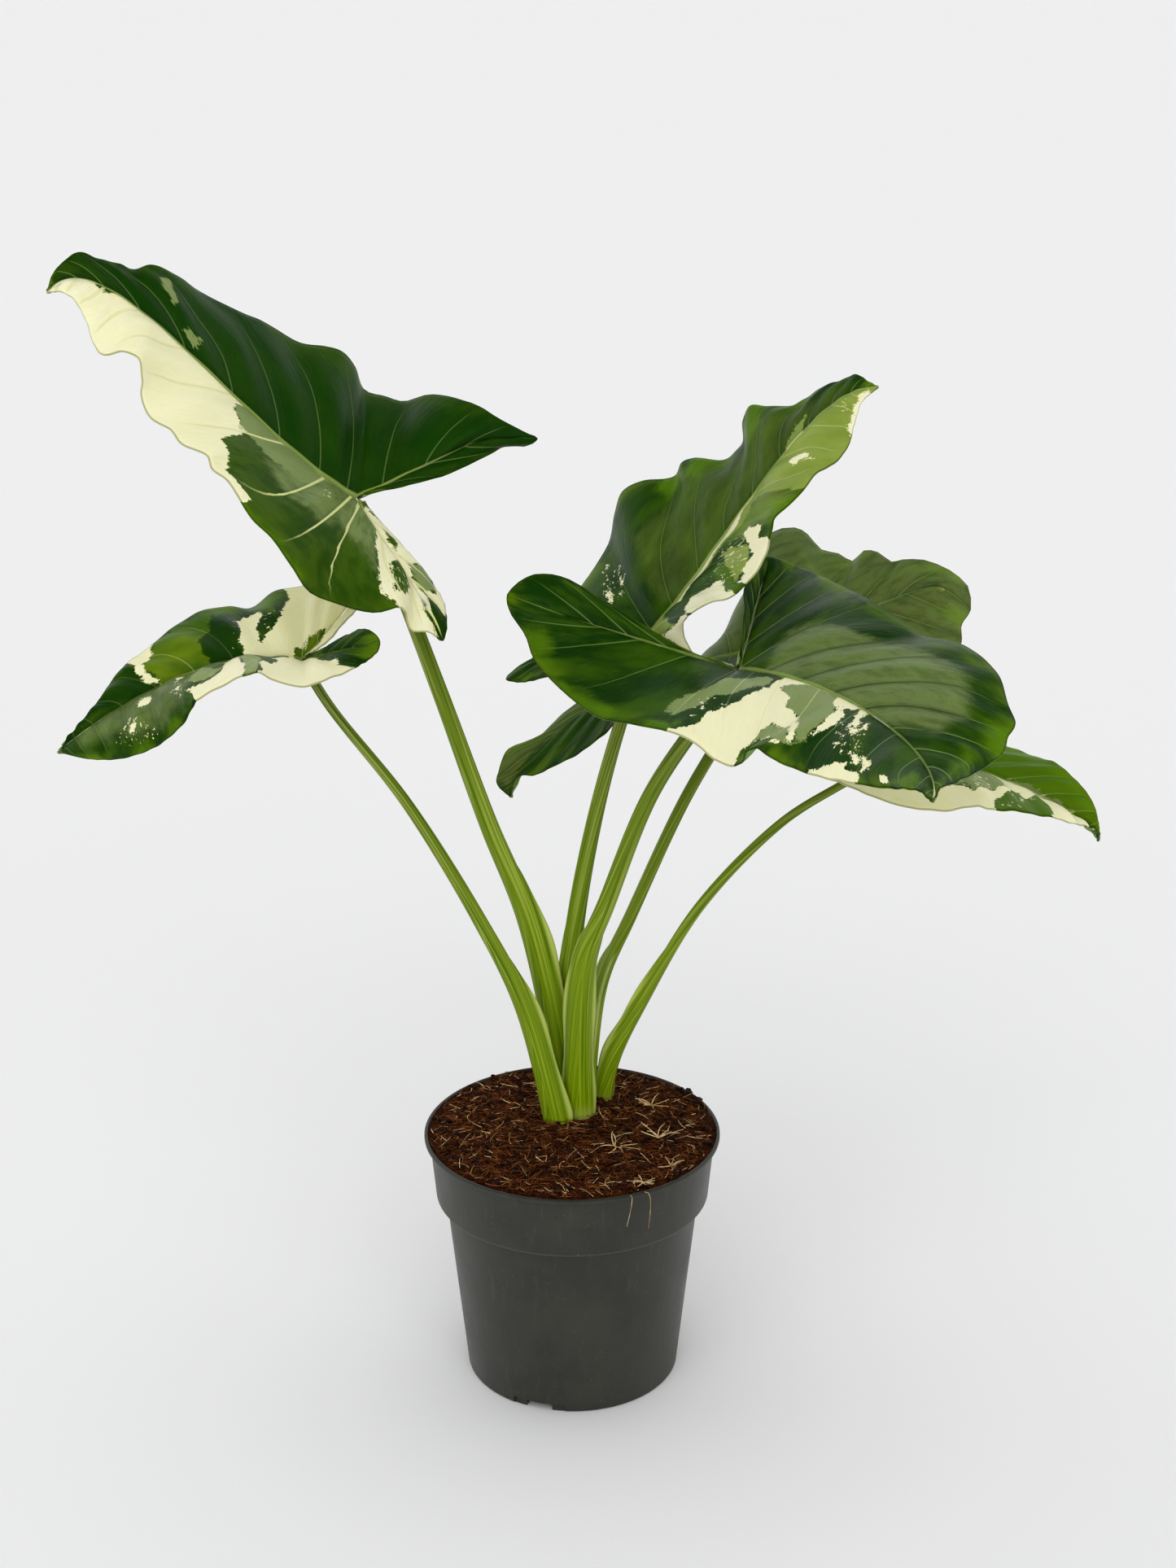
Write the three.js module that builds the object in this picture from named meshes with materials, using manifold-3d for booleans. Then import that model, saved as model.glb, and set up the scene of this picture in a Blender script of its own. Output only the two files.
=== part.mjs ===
/**
 * Potted variegated giant taro, an aroid with six big arrow-shaped leaves,
 * grown in a plastic nursery pot.
 *
 * Millimetres, +Z up. The origin is the middle of the pot's flat underside,
 * -Y is the side that faces the viewer and +X is the viewer's right.
 *
 * Each leaf is one petiole (the long stalk) and one blade. All petioles grow
 * from the corm, a short swollen stem buried in the potting mix.
 */
import * as THREE from 'three';
import { mergeVertices } from 'three/addons/utils/BufferGeometryUtils.js';
import Module from 'manifold-3d';

const wasm = await Module();
wasm.setup();

// Driving dimensions

const GAP = 0.3;                  // clearance between pieces that touch

const POT_HEIGHT = 166;
const LIP_RADIUS = 95;            // a 19 cm nursery pot, measured over its lip
const LIP_DEPTH = 3;
const BAND_TOP_RADIUS = 91.6;     // the wide band under the lip
const BAND_FOOT_RADIUS = 87.9;
const BAND_FOOT_Z = 123.2;        // where the band steps in to the body
const BODY_TOP_RADIUS = 81.9;
const BODY_FOOT_RADIUS = 68.9;
const POT_WALL = 1.6;
const POT_FLOOR = 2;
const POT_SIDES = 48;
const DRAIN_HOLES = 6;
const DRAIN_HOLE_RADIUS = 6;
const DRAIN_CIRCLE_RADIUS = 38;
const FOOT_SLOTS = 3;             // openings in the foot's edge, where water runs out
const FOOT_SLOT_WIDTH = 17;
const FOOT_SLOT_HEIGHT = 4;
const FOOT_SLOT_TURN = 244;       // degrees to the slot that shows in front

const MIX_EDGE_Z = 164;           // potting mix at the wall
const MIX_CROWN_Z = 167;          // and where the stalks leave it
const MIX_ROUGHNESS = 1;          // height of its crumbs
const MIX_RINGS = 7;

const CORM_TOP_Z = 154;
const CORM_LENGTH = 46;
const CORM_RADIUS = 24;
const CORM_CENTRE = [5, 26];
const ROOTS = 7;
const ROOT_RADIUS = 1.6;

const BLADE_AT_RIB = 1.1;         // blade thickness beside a main vein
const BLADE_AT_EDGE = 0.8;        // and at the margin
const RIB_KEEL = 1.3;             // how far the main veins stand out below
const BLADE_BULGE = 0.05;         // arch of a half blade, as a share of its width

const LOBE_COLUMNS = 4;           // columns of the blade grid on each side of a lobe
const MAIN_COLUMNS = 21;          // and from the shoulder to the tip
const BLADE_ROWS = [0, 0.08, 0.36, 0.7, 1];

const STALK_SIDES = 10;
const STALK_STEPS = 20;
const SHEATH_SHARE = 0.8;         // share of a stalk over which its broad foot narrows
const SHEATH_TAPER = 1.3;         // and how fast

// A blade is laid out by its stations, 0 to 14, counted round each half: 0 is
// the sinus, where the stalk joins, 4 the end of the back lobe, 8 the shoulder
// beside the sinus and 14 the tip of the leaf.

const LOBE_END = 4;
const SHOULDER = 8;
const TIP = 14;

// The six leaves. rib holds the four Bezier points of the midrib, from sinus
// to tip. Each half has its margin in three runs, the notch, the lobe's round
// outer side and the long waved edge, and the end of its lobe's own rib.
// stalk holds the path of the petiole, from the corm to just below the sinus;
// base and top are its half widths, and faces is the way its back is turned.

const LEAVES = {
  low_left: {
    rib: [[-162, 3, 478], [-215, -32, 505], [-299, -75, 446], [-295, -73, 445]],
    left: {
      notch: [[-151, 7, 484], [-135, 3, 494], [-122, -8, 501]],
      lobe: [[-113, -18, 497], [-114, -21, 491], [-125, -28, 484], [-138, -48, 483], [-152, -70, 484]],
      edge: [[-169, -79, 491], [-176, -83, 496], [-184, -87, 495], [-195, -92, 491], [-208, -98, 485],
        [-212, -99, 480], [-219, -100, 469], [-229, -99, 460], [-242, -96, 452], [-260, -90, 446],
        [-278, -82, 444]],
      lobeRib: [-124, -16, 493],
    },
    right: {
      notch: [[-152, 9, 484], [-144, 19, 490], [-133, 41, 499], [-124, 59, 502]],
      lobe: [[-120, 67, 507], [-127, 72, 515], [-140, 74, 518], [-154, 75, 514], [-167, 65, 509]],
      edge: [[-184, 55, 508], [-197, 43, 501], [-210, 33, 504], [-225, 20, 504], [-240, 3, 498],
        [-252, -15, 490], [-262, -27, 485], [-270, -40, 476], [-275, -50, 469], [-281, -58, 462],
        [-288, -67, 453]],
      lobeRib: [-131, 61, 506],
    },
    stalk: [[-9, 10, 154], [-12, 11, 172], [-31, 14, 246], [-58, 12, 306], [-102, 8, 386],
      [-146, 5, 448], [-162, 3, 477]],
    base: 10.5, top: 3, faces: [-0.5, -0.87],
  },
  high_left: {
    rib: [[-131, 54, 567], [-190, 35, 604], [-268, 16, 738], [-300, 5, 696]],
    left: {
      notch: [[-110, 49, 546], [-90, 38, 526], [-76, 22, 506]],
      lobe: [[-77, 8, 489], [-85, 2, 496], [-95, -2, 498], [-100, -8, 514], [-116, -13, 512],
        [-135, -17, 518], [-153, -23, 528], [-163, -28, 546]],
      edge: [[-172, -30, 561], [-183, -32, 573], [-196, -32, 595], [-204, -32, 602], [-207, -31, 609],
        [-222, -29, 616], [-228, -28, 624], [-240, -25, 631], [-244, -23, 643], [-243, -21, 652],
        [-245, -19, 663], [-255, -17, 666], [-266, -15, 664], [-271, -13, 669], [-276, -7, 682],
        [-283, -2, 693], [-291, 2, 697]],
      lobeRib: [-87, 8, 512],
    },
    right: {
      notch: [[-110, 54, 572], [-91, 59, 576], [-74, 70, 579], [-53, 86, 586], [-38, 93, 592],
        [-29, 93, 591]],
      lobe: [[-21, 91, 596], [-31, 88, 602], [-46, 84, 611], [-56, 86, 617], [-72, 95, 621],
        [-88, 108, 621], [-106, 119, 615], [-119, 122, 618], [-131, 121, 622]],
      edge: [[-136, 117, 637], [-143, 112, 647], [-153, 108, 651], [-167, 101, 654], [-181, 93, 664],
        [-192, 86, 671], [-203, 79, 677], [-224, 63, 692], [-234, 54, 701], [-247, 44, 708],
        [-255, 38, 706], [-263, 31, 710], [-273, 23, 714], [-283, 17, 718], [-291, 12, 713],
        [-297, 8, 706]],
      lobeRib: [-45, 88, 602],
    },
    stalk: [[-4, 38, 155], [-10, 33, 212], [-28, 34, 297], [-53, 36, 363], [-82, 42, 447],
      [-112, 49, 528], [-130, 54, 563]],
    base: 11.5, top: 4.6, faces: [-0.5, -0.87],
  },
  upright: {
    rib: [[50, 54, 482], [91, 36, 534], [140, 25, 646], [181, 19, 640]],
    left: {
      notch: [[29, 54, 466], [6, 59, 454], [-17, 71, 448], [-33, 83, 441]],
      lobe: [[-43, 91, 441], [-26, 106, 451], [-12, 117, 466], [-2, 124, 480], [7, 127, 495],
        [23, 123, 522]],
      edge: [[27, 116, 544], [32, 111, 559], [45, 105, 567], [59, 101, 569], [65, 99, 572],
        [69, 95, 581], [76, 93, 584], [94, 85, 584], [101, 81, 590], [105, 78, 597],
        [105, 71, 612], [109, 67, 621], [119, 61, 622], [134, 52, 624], [142, 47, 630],
        [150, 41, 637], [159, 36, 641], [168, 29, 646], [175, 24, 643]],
      lobeRib: [-21, 94, 454],
    },
    right: {
      notch: [[60, 57, 467], [74, 61, 450], [85, 64, 441]],
      lobe: [[95, 63, 437], [93, 56, 446], [84, 43, 461], [71, 18, 482], [67, -1, 502],
        [70, -9, 510]],
      edge: [[83, -17, 520], [92, -21, 523], [100, -25, 530], [108, -28, 541], [113, -28, 551],
        [116, -25, 562], [118, -22, 571], [133, -14, 583], [144, -7, 595], [155, -3, 600],
        [163, 3, 610], [166, 9, 619], [171, 15, 632]],
      lobeRib: [84, 57, 451],
    },
    stalk: [[3, 42, 155], [-2, 40, 221], [1, 38, 284], [14, 41, 361], [30, 46, 423],
      [49, 53, 478]],
    base: 9, top: 4.2, faces: [0, 1],
  },
  front: {
    rib: [[100, -8, 476], [149, -79, 495], [208, -150, 469], [187, -220, 466]],
    left: {
      notch: [[103, 13, 490], [106, 36, 501], [107, 57, 510], [113, 71, 517]],
      lobe: [[123, 83, 523], [146, 86, 515], [162, 60, 513], [173, 33, 513], [182, 7, 513]],
      edge: [[192, -9, 510], [199, -21, 507], [204, -32, 504], [214, -50, 506], [225, -71, 508],
        [234, -96, 505], [238, -114, 501], [239, -135, 493], [241, -150, 486], [236, -158, 482],
        [232, -168, 476], [221, -179, 472], [205, -196, 470], [193, -208, 470]],
      lobeRib: [120, 74, 511],
    },
    right: {
      notch: [[82, -2, 481], [70, 2, 485], [43, 14, 498], [23, 23, 508], [8, 28, 517],
        [-9, 32, 524], [-26, 33, 523]],
      lobe: [[-39, 31, 512], [-38, 28, 503], [-28, 20, 489], [-23, 12, 477], [-11, -5, 467],
        [4, -26, 460], [16, -43, 457], [33, -62, 459], [51, -82, 462]],
      edge: [[64, -97, 462], [72, -107, 460], [81, -117, 455], [89, -125, 454], [94, -129, 457],
        [97, -135, 466], [102, -139, 469], [110, -147, 466], [122, -160, 464], [136, -174, 464],
        [150, -186, 465], [169, -203, 468], [181, -212, 470]],
      lobeRib: [-5, 19, 502],
    },
    stalk: [[5, 16, 154], [4, 15, 208], [8, 12, 278], [22, 9, 319], [49, 1, 394],
      [79, -4, 444], [98, -8, 472]],
    base: 8.5, top: 4.6, faces: [0, -1],
  },
  back: {
    rib: [[126, 129, 449], [53, 118, 446], [-24, 108, 410], [-41, 105, 355]],
    left: {
      notch: [[148, 127, 446], [180, 126, 441], [207, 124, 436]],
      lobe: [[225, 118, 433], [213, 110, 427], [184, 89, 426], [157, 71, 428], [127, 60, 425]],
      edge: [[102, 59, 423], [76, 62, 424], [50, 65, 424], [28, 69, 418], [18, 72, 408],
        [5, 77, 396], [-10, 85, 385], [-25, 93, 375], [-36, 99, 372], [-40, 102, 364]],
      lobeRib: [205, 109, 434],
    },
    right: {
      notch: [[170, 139, 448], [209, 145, 443], [242, 147, 442], [258, 150, 447], [259, 154, 460]],
      lobe: [[265, 158, 469], [263, 164, 484], [251, 168, 494], [234, 171, 500], [220, 173, 500],
        [213, 174, 498], [204, 178, 504], [195, 181, 504], [188, 185, 496], [179, 189, 500],
        [168, 194, 502], [159, 200, 511], [150, 203, 515], [134, 207, 510]],
      edge: [[127, 207, 490], [120, 203, 466], [117, 195, 439], [107, 186, 415], [81, 176, 408],
        [53, 162, 411], [25, 147, 414], [3, 135, 411], [-13, 125, 401], [-23, 120, 392],
        [-34, 115, 390], [-43, 112, 386], [-49, 108, 372], [-50, 107, 364]],
      lobeRib: [241, 160, 488],
    },
    stalk: [[10, 36, 155], [12, 44, 200], [20, 60, 246], [38, 73, 284], [73, 97, 355],
      [108, 117, 412], [125, 129, 445]],
    base: 8.5, top: 3.8, faces: [0.9, 0.43],
  },
  low_right: {
    rib: [[185, 37, 398], [230, 8, 436], [329, -41, 382], [317, -33, 375]],
    left: {
      notch: [[180, 53, 398], [176, 76, 394]],
      lobe: [[176, 96, 396], [186, 97, 401], [202, 94, 405], [218, 82, 411]],
      edge: [[237, 70, 415], [255, 53, 415], [271, 35, 414], [284, 19, 413], [296, 4, 413],
        [306, -10, 407], [314, -23, 398], [317, -30, 388]],
      lobeRib: [183, 89, 396],
    },
    right: {
      notch: [[174, 31, 400], [161, 24, 406]],
      lobe: [[149, 15, 411], [151, 9, 408], [154, 2, 406], [164, -8, 404], [181, -28, 403]],
      edge: [[194, -36, 400], [207, -44, 400], [222, -49, 401], [238, -53, 405], [248, -55, 404],
        [264, -56, 403], [282, -54, 399], [299, -47, 392], [311, -41, 387]],
      lobeRib: [160, 12, 408],
    },
    stalk: [[19, 42, 155], [26, 43, 193], [46, 46, 236], [82, 47, 301], [133, 43, 360],
      [167, 39, 385], [183, 37, 395]],
    base: 6.8, top: 2.6, faces: [0.55, -0.83],
  },
};

// Colours and finishes

const bladeGreen = new THREE.MeshStandardMaterial({ color: 0x2f5126, roughness: 0.38 });
const stalkGreen = new THREE.MeshStandardMaterial({ color: 0x6f9418, roughness: 0.5 });
const potPlastic = new THREE.MeshStandardMaterial({ color: 0x45483e, roughness: 0.6 });
const mixBrown = new THREE.MeshStandardMaterial({ color: 0x3e2312, roughness: 0.95 });
const cormBrown = new THREE.MeshStandardMaterial({ color: 0x8a7a52, roughness: 0.85 });

const object = new THREE.Group();

const add = (name, geometry, material) => {
  const mesh = new THREE.Mesh(geometry, material);
  mesh.name = name;
  object.add(mesh);
  return mesh;
};

// Helpers for points and solids

const vec = ([x, y, z]) => new THREE.Vector3(x, y, z);
const clamp01 = (value) => Math.min(1, Math.max(0, value));

/** A repeatable random number between -1 and 1 for a whole number. */
const noise = (seed) => {
  const s = Math.sin(seed * 127.1 + 11.7) * 43758.5453;
  return 2 * (s - Math.floor(s)) - 1;
};

/** A closed geometry from points and triangles of their indices. */
const geometryOf = (points, faces) => {
  const geometry = new THREE.BufferGeometry();
  geometry.setAttribute('position', new THREE.Float32BufferAttribute(points.flatMap((p) => [p.x, p.y, p.z]), 3));
  geometry.setIndex(faces.flat());
  return geometry;
};

/** A solid for joining and cutting, from a closed geometry. */
const solidOf = (geometry) => {
  const bare = geometry.clone();
  bare.deleteAttribute('normal');
  bare.deleteAttribute('uv');
  const merged = mergeVertices(bare, 1e-4);
  return new wasm.Manifold(new wasm.Mesh({
    numProp: 3,
    vertProperties: new Float32Array(merged.attributes.position.array),
    triVerts: new Uint32Array(merged.index.array),
  }));
};

/** The geometry of a solid's largest body: loose shavings of a cut are dropped. */
const largestBody = (solid) => {
  const bodies = solid.decompose();
  bodies.sort((a, b) => b.volume() - a.volume());
  const mesh = bodies[0].getMesh();
  const geometry = new THREE.BufferGeometry();
  geometry.setAttribute('position', new THREE.Float32BufferAttribute(mesh.vertProperties, 3));
  geometry.setIndex([...mesh.triVerts]);
  return geometry;
};

const cutAll = (solid, tools) => tools.reduce((rest, tool) => rest.subtract(tool), solid);

/** A closed body through a row of rings of points, with a flat cap on each end. */
const loft = (rings) => {
  const sides = rings[0].length;
  const points = rings.flat();
  const faces = [];
  for (let i = 0; i + 1 < rings.length; i += 1) {
    for (let j = 0; j < sides; j += 1) {
      const a = i * sides + j;
      const b = i * sides + ((j + 1) % sides);
      faces.push([a, b, b + sides], [a, b + sides, a + sides]);
    }
  }
  const last = (rings.length - 1) * sides;
  for (let j = 1; j + 1 < sides; j += 1) {
    faces.push([0, j + 1, j], [last, last + j, last + j + 1]);
  }
  return geometryOf(points, faces);
};

// Blades

/** The margin of one half blade as a function of the station. */
const marginOf = (leaf, half) => {
  const { notch, lobe, edge } = half;
  const points = [leaf.rib[0], ...notch, ...lobe, ...edge, leaf.rib[3]].map(vec);
  const curve = new THREE.CatmullRomCurve3(points, false, 'centripetal');
  const lobeStart = notch.length + 1;
  const lobeStop = notch.length + lobe.length;
  const last = points.length - 1;
  return (station) => {
    let index;
    if (station <= LOBE_END) {
      index = (station / LOBE_END) * lobeStart;
    } else if (station <= SHOULDER) {
      index = lobeStart + ((station - LOBE_END) / (SHOULDER - LOBE_END)) * (lobeStop - lobeStart);
    } else {
      index = lobeStop + ((station - SHOULDER) / (TIP - SHOULDER)) * (last - lobeStop);
    }
    return curve.getPoint(clamp01(index / last));
  };
};

/** The vein that a half blade hangs from: the lobe's rib, out and back, then the midrib. */
const spineOf = (leaf, half) => {
  const midrib = new THREE.CubicBezierCurve3(...leaf.rib.map(vec));
  const alongLobe = vec(half.lobeRib).sub(vec(leaf.rib[0]));
  return (station) => {
    const out = clamp01(station / LOBE_END);
    const back = clamp01((station - LOBE_END) / (SHOULDER - LOBE_END));
    const forward = clamp01((station - SHOULDER) / (TIP - SHOULDER));
    return midrib.getPoint(forward).addScaledVector(alongLobe, out * (1 - back));
  };
};

/** A point of a half blade: row 0 lies on the spine and row 1 on the margin. */
const bladePoint = (spine, margin, side, station, row) => {
  const from = spine(station);
  const across = margin(station).sub(from);
  const point = from.clone().addScaledVector(across, row);
  const before = Math.max(0, station - 0.1);
  const after = Math.min(TIP, station + 0.1);
  const middle = (s) => spine(s).add(margin(s)).multiplyScalar(0.5);
  const along = middle(after).sub(middle(before));
  const up = across.clone().cross(along).multiplyScalar(side);
  if (up.length() < 1e-6) return point;
  return point.addScaledVector(up.normalize(), BLADE_BULGE * across.length() * Math.sin(Math.PI * row));
};

/** The middle surface of a whole blade, as shared points with their row, and triangles. */
const bladeSheet = (leaf) => {
  const points = [];
  const rows = [];
  const faces = [];
  const known = new Map();
  const indexOf = (point, row) => {
    const key = point.toArray().map((v) => Math.round(v * 1000)).join();
    if (!known.has(key)) {
      known.set(key, points.length);
      points.push(point);
      rows.push(row);
    }
    return known.get(key);
  };
  const stations = [];
  for (let i = 0; i < LOBE_COLUMNS; i += 1) stations.push((i / LOBE_COLUMNS) * LOBE_END);
  for (let i = 0; i < LOBE_COLUMNS; i += 1) stations.push(LOBE_END + (i / LOBE_COLUMNS) * (SHOULDER - LOBE_END));
  for (let i = 0; i <= MAIN_COLUMNS; i += 1) stations.push(SHOULDER + (i / MAIN_COLUMNS) * (TIP - SHOULDER));

  for (const [half, side] of [[leaf.left, -1], [leaf.right, 1]]) {
    const spine = spineOf(leaf, half);
    const margin = marginOf(leaf, half);
    const grid = stations.map((station) => BLADE_ROWS.map(
      (row) => indexOf(bladePoint(spine, margin, side, station, row), row)));
    for (let i = 0; i + 1 < grid.length; i += 1) {
      for (let j = 0; j + 1 < BLADE_ROWS.length; j += 1) {
        const a = grid[i][j];
        const b = grid[i][j + 1];
        const c = grid[i + 1][j + 1];
        const d = grid[i + 1][j];
        const pair = side > 0 ? [[a, b, c], [a, c, d]] : [[a, c, b], [a, d, c]];
        faces.push(...pair.filter(([p, q, r]) => p !== q && q !== r && r !== p));
      }
    }
  }
  return { points, rows, faces };
};

/** A blade's solid: the sheet with its thickness, closed along its edge. */
const bladeSolid = (leaf, grow = 0) => {
  const { points, rows, faces } = bladeSheet(leaf);
  const normals = points.map(() => new THREE.Vector3());
  for (const [a, b, c] of faces) {
    const normal = points[b].clone().sub(points[a]).cross(points[c].clone().sub(points[a]));
    for (const i of [a, b, c]) normals[i].add(normal);
  }
  const upper = [];
  const lower = [];
  points.forEach((point, i) => {
    const normal = normals[i].normalize();
    const half = THREE.MathUtils.lerp(BLADE_AT_RIB, BLADE_AT_EDGE, rows[i]) / 2;
    const keel = rows[i] === 0 ? RIB_KEEL : 0;
    upper.push(point.clone().addScaledVector(normal, half + grow));
    lower.push(point.clone().addScaledVector(normal, -half - keel - grow));
  });
  const count = points.length;
  const edges = new Set(faces.flatMap(([a, b, c]) => [`${a},${b}`, `${b},${c}`, `${c},${a}`]));
  const solid = faces.flatMap(([a, b, c]) => [[a, b, c], [a + count, c + count, b + count]]);
  for (const edge of edges) {
    const [a, b] = edge.split(',').map(Number);
    if (!edges.has(`${b},${a}`)) solid.push([a, a + count, b + count], [a, b + count, b]);
  }
  return solidOf(geometryOf([...upper, ...lower], solid));
};

// Petioles

/** A petiole's solid: a crescent sheath at the corm that narrows to a round stalk. */
const stalkSolid = (leaf, grow = 0) => {
  const path = new THREE.CatmullRomCurve3(leaf.stalk.map(vec), false, 'centripetal');
  const back = new THREE.Vector3(leaf.faces[0], leaf.faces[1], 0).normalize();
  const rings = [];
  for (let i = 0; i <= STALK_STEPS; i += 1) {
    const t = i / STALK_STEPS;
    const centre = path.getPointAt(t);
    const along = path.getTangentAt(t);
    const outward = back.clone().addScaledVector(along, -back.dot(along)).normalize();
    const sideways = along.clone().cross(outward);
    const sheath = clamp01(1 - t / SHEATH_SHARE) ** SHEATH_TAPER;
    const width = THREE.MathUtils.lerp(leaf.top, leaf.base, sheath) + grow;
    const depth = THREE.MathUtils.lerp(leaf.top, leaf.base * 0.52, sheath) + grow;
    const ring = [];
    for (let j = 0; j < STALK_SIDES; j += 1) {
      const angle = (j / STALK_SIDES) * 2 * Math.PI;
      const inner = Math.cos(angle) < 0 ? THREE.MathUtils.lerp(1, 0.6, sheath) : 1;
      ring.push(centre.clone()
        .addScaledVector(outward, Math.cos(angle) * depth * inner)
        .addScaledVector(sideways, Math.sin(angle) * width));
    }
    rings.push(ring);
  }
  return solidOf(loft(rings));
};

const names = Object.keys(LEAVES);
const blades = {};
const bladeRooms = {};
for (const name of names) {
  blades[name] = bladeSolid(LEAVES[name]);
  bladeRooms[name] = bladeSolid(LEAVES[name], 2 * GAP);
}

// The sheaths crowd round the corm. Those in front are whole, and each one
// behind is hollowed to lie against them.

const FRONT_TO_BACK = ['front', 'low_left', 'low_right', 'high_left', 'back', 'upright'];
const stalks = {};
const stalkRooms = [];
for (const name of FRONT_TO_BACK) {
  const whole = stalkSolid(LEAVES[name]);
  stalks[name] = cutAll(whole, [...stalkRooms, bladeRooms[name]]);
  stalkRooms.push(stalkSolid(LEAVES[name], GAP));
}

for (const name of names) {
  const blade = add(`blade_${name}`, largestBody(blades[name]), bladeGreen);
  blade.castShadow = true;
  add(`petiole_${name}`, largestBody(stalks[name]), stalkGreen);
}

// Corm and roots

/** The corm, a short barrel with a few thick roots spreading from its foot. */
const cormSolid = (grow = 0) => {
  const profile = [[0, 0], [0.45, 0], [0.8, 0.18], [1, 0.5], [0.92, 0.8], [0.7, 1], [0, 1]];
  const points = profile.map(([r, z]) => {
    const reach = r === 0 ? 0 : grow;
    const rise = z === 1 ? grow : 0;
    const drop = z === 0 ? grow : 0;
    return new THREE.Vector2(r * CORM_RADIUS + reach, CORM_TOP_Z - CORM_LENGTH * (1 - z) + rise - drop);
  });
  const barrel = new THREE.LatheGeometry(points, 16);
  barrel.rotateX(Math.PI / 2);
  barrel.translate(...CORM_CENTRE, 0);
  let solid = solidOf(barrel);
  for (let i = 0; i < ROOTS; i += 1) {
    const turn = (i / ROOTS) * 2 * Math.PI + 0.3 * noise(i);
    const reach = 38 + 8 * noise(i + 20);
    const at = (r, z) => new THREE.Vector3(
      CORM_CENTRE[0] + r * Math.cos(turn), CORM_CENTRE[1] + r * Math.sin(turn), z);
    const path = new THREE.CatmullRomCurve3([at(8, 122), at(24, 108), at(reach, 74), at(reach - 2, 30)]);
    const rings = [];
    for (let j = 0; j <= 8; j += 1) {
      const centre = path.getPointAt(j / 8);
      const along = path.getTangentAt(j / 8);
      const sideways = new THREE.Vector3(-Math.sin(turn), Math.cos(turn), 0);
      const outward = sideways.clone().cross(along);
      const radius = ROOT_RADIUS * (1.3 - 0.7 * (j / 8)) + grow;
      const ring = [];
      for (let k = 0; k < 6; k += 1) {
        const angle = (k / 6) * 2 * Math.PI;
        ring.push(centre.clone()
          .addScaledVector(outward, radius * Math.cos(angle))
          .addScaledVector(sideways, radius * Math.sin(angle)));
      }
      rings.push(ring);
    }
    solid = solid.add(solidOf(loft(rings)));
  }
  return solid;
};

add('corm', largestBody(cutAll(cormSolid(), stalkRooms)), cormBrown);

// Pot

const bandInner = (z) => THREE.MathUtils.mapLinear(
  z, BAND_FOOT_Z, POT_HEIGHT - LIP_DEPTH, BAND_FOOT_RADIUS, BAND_TOP_RADIUS) - POT_WALL;
const bodyInner = (z) => THREE.MathUtils.mapLinear(
  z, 0, BAND_FOOT_Z, BODY_FOOT_RADIUS, BODY_TOP_RADIUS) - POT_WALL;
const SHELF_Z = BAND_FOOT_Z + POT_WALL;

const turned = (profile) => {
  const geometry = new THREE.LatheGeometry(profile.map(([r, z]) => new THREE.Vector2(r, z)), POT_SIDES);
  geometry.rotateX(Math.PI / 2);
  return geometry;
};

const potShell = turned([
  [0, 0],
  [BODY_FOOT_RADIUS - 2, 0],
  [BODY_FOOT_RADIUS, 2],
  [BODY_TOP_RADIUS, BAND_FOOT_Z],
  [BAND_FOOT_RADIUS, BAND_FOOT_Z],
  [BAND_TOP_RADIUS, POT_HEIGHT - LIP_DEPTH],
  [LIP_RADIUS, POT_HEIGHT - LIP_DEPTH],
  [LIP_RADIUS, POT_HEIGHT - 0.8],
  [LIP_RADIUS - 1, POT_HEIGHT],
  [bandInner(POT_HEIGHT) + 0.6, POT_HEIGHT],
  [bandInner(SHELF_Z), SHELF_Z],
  [bodyInner(SHELF_Z), SHELF_Z],
  [bodyInner(POT_FLOOR), POT_FLOOR],
  [0, POT_FLOOR],
]);

const drainHoles = [];
for (let i = 0; i < DRAIN_HOLES; i += 1) {
  const angle = (i / DRAIN_HOLES) * 2 * Math.PI;
  const hole = new THREE.CylinderGeometry(DRAIN_HOLE_RADIUS, DRAIN_HOLE_RADIUS, 3 * POT_FLOOR, 16);
  hole.rotateX(Math.PI / 2);
  hole.translate(DRAIN_CIRCLE_RADIUS * Math.cos(angle), DRAIN_CIRCLE_RADIUS * Math.sin(angle), POT_FLOOR / 2);
  drainHoles.push(solidOf(hole));
}
for (let i = 0; i < FOOT_SLOTS; i += 1) {
  const slot = new THREE.BoxGeometry(14, FOOT_SLOT_WIDTH, 2 * FOOT_SLOT_HEIGHT);
  slot.translate(BODY_FOOT_RADIUS, 0, 0);
  slot.rotateZ(THREE.MathUtils.degToRad(FOOT_SLOT_TURN) + (i / FOOT_SLOTS) * 2 * Math.PI);
  drainHoles.push(solidOf(slot));
}
add('pot', largestBody(cutAll(solidOf(potShell), drainHoles)), potPlastic);

// Potting mix, with a crumbly top and holes for all that grows in it

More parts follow.
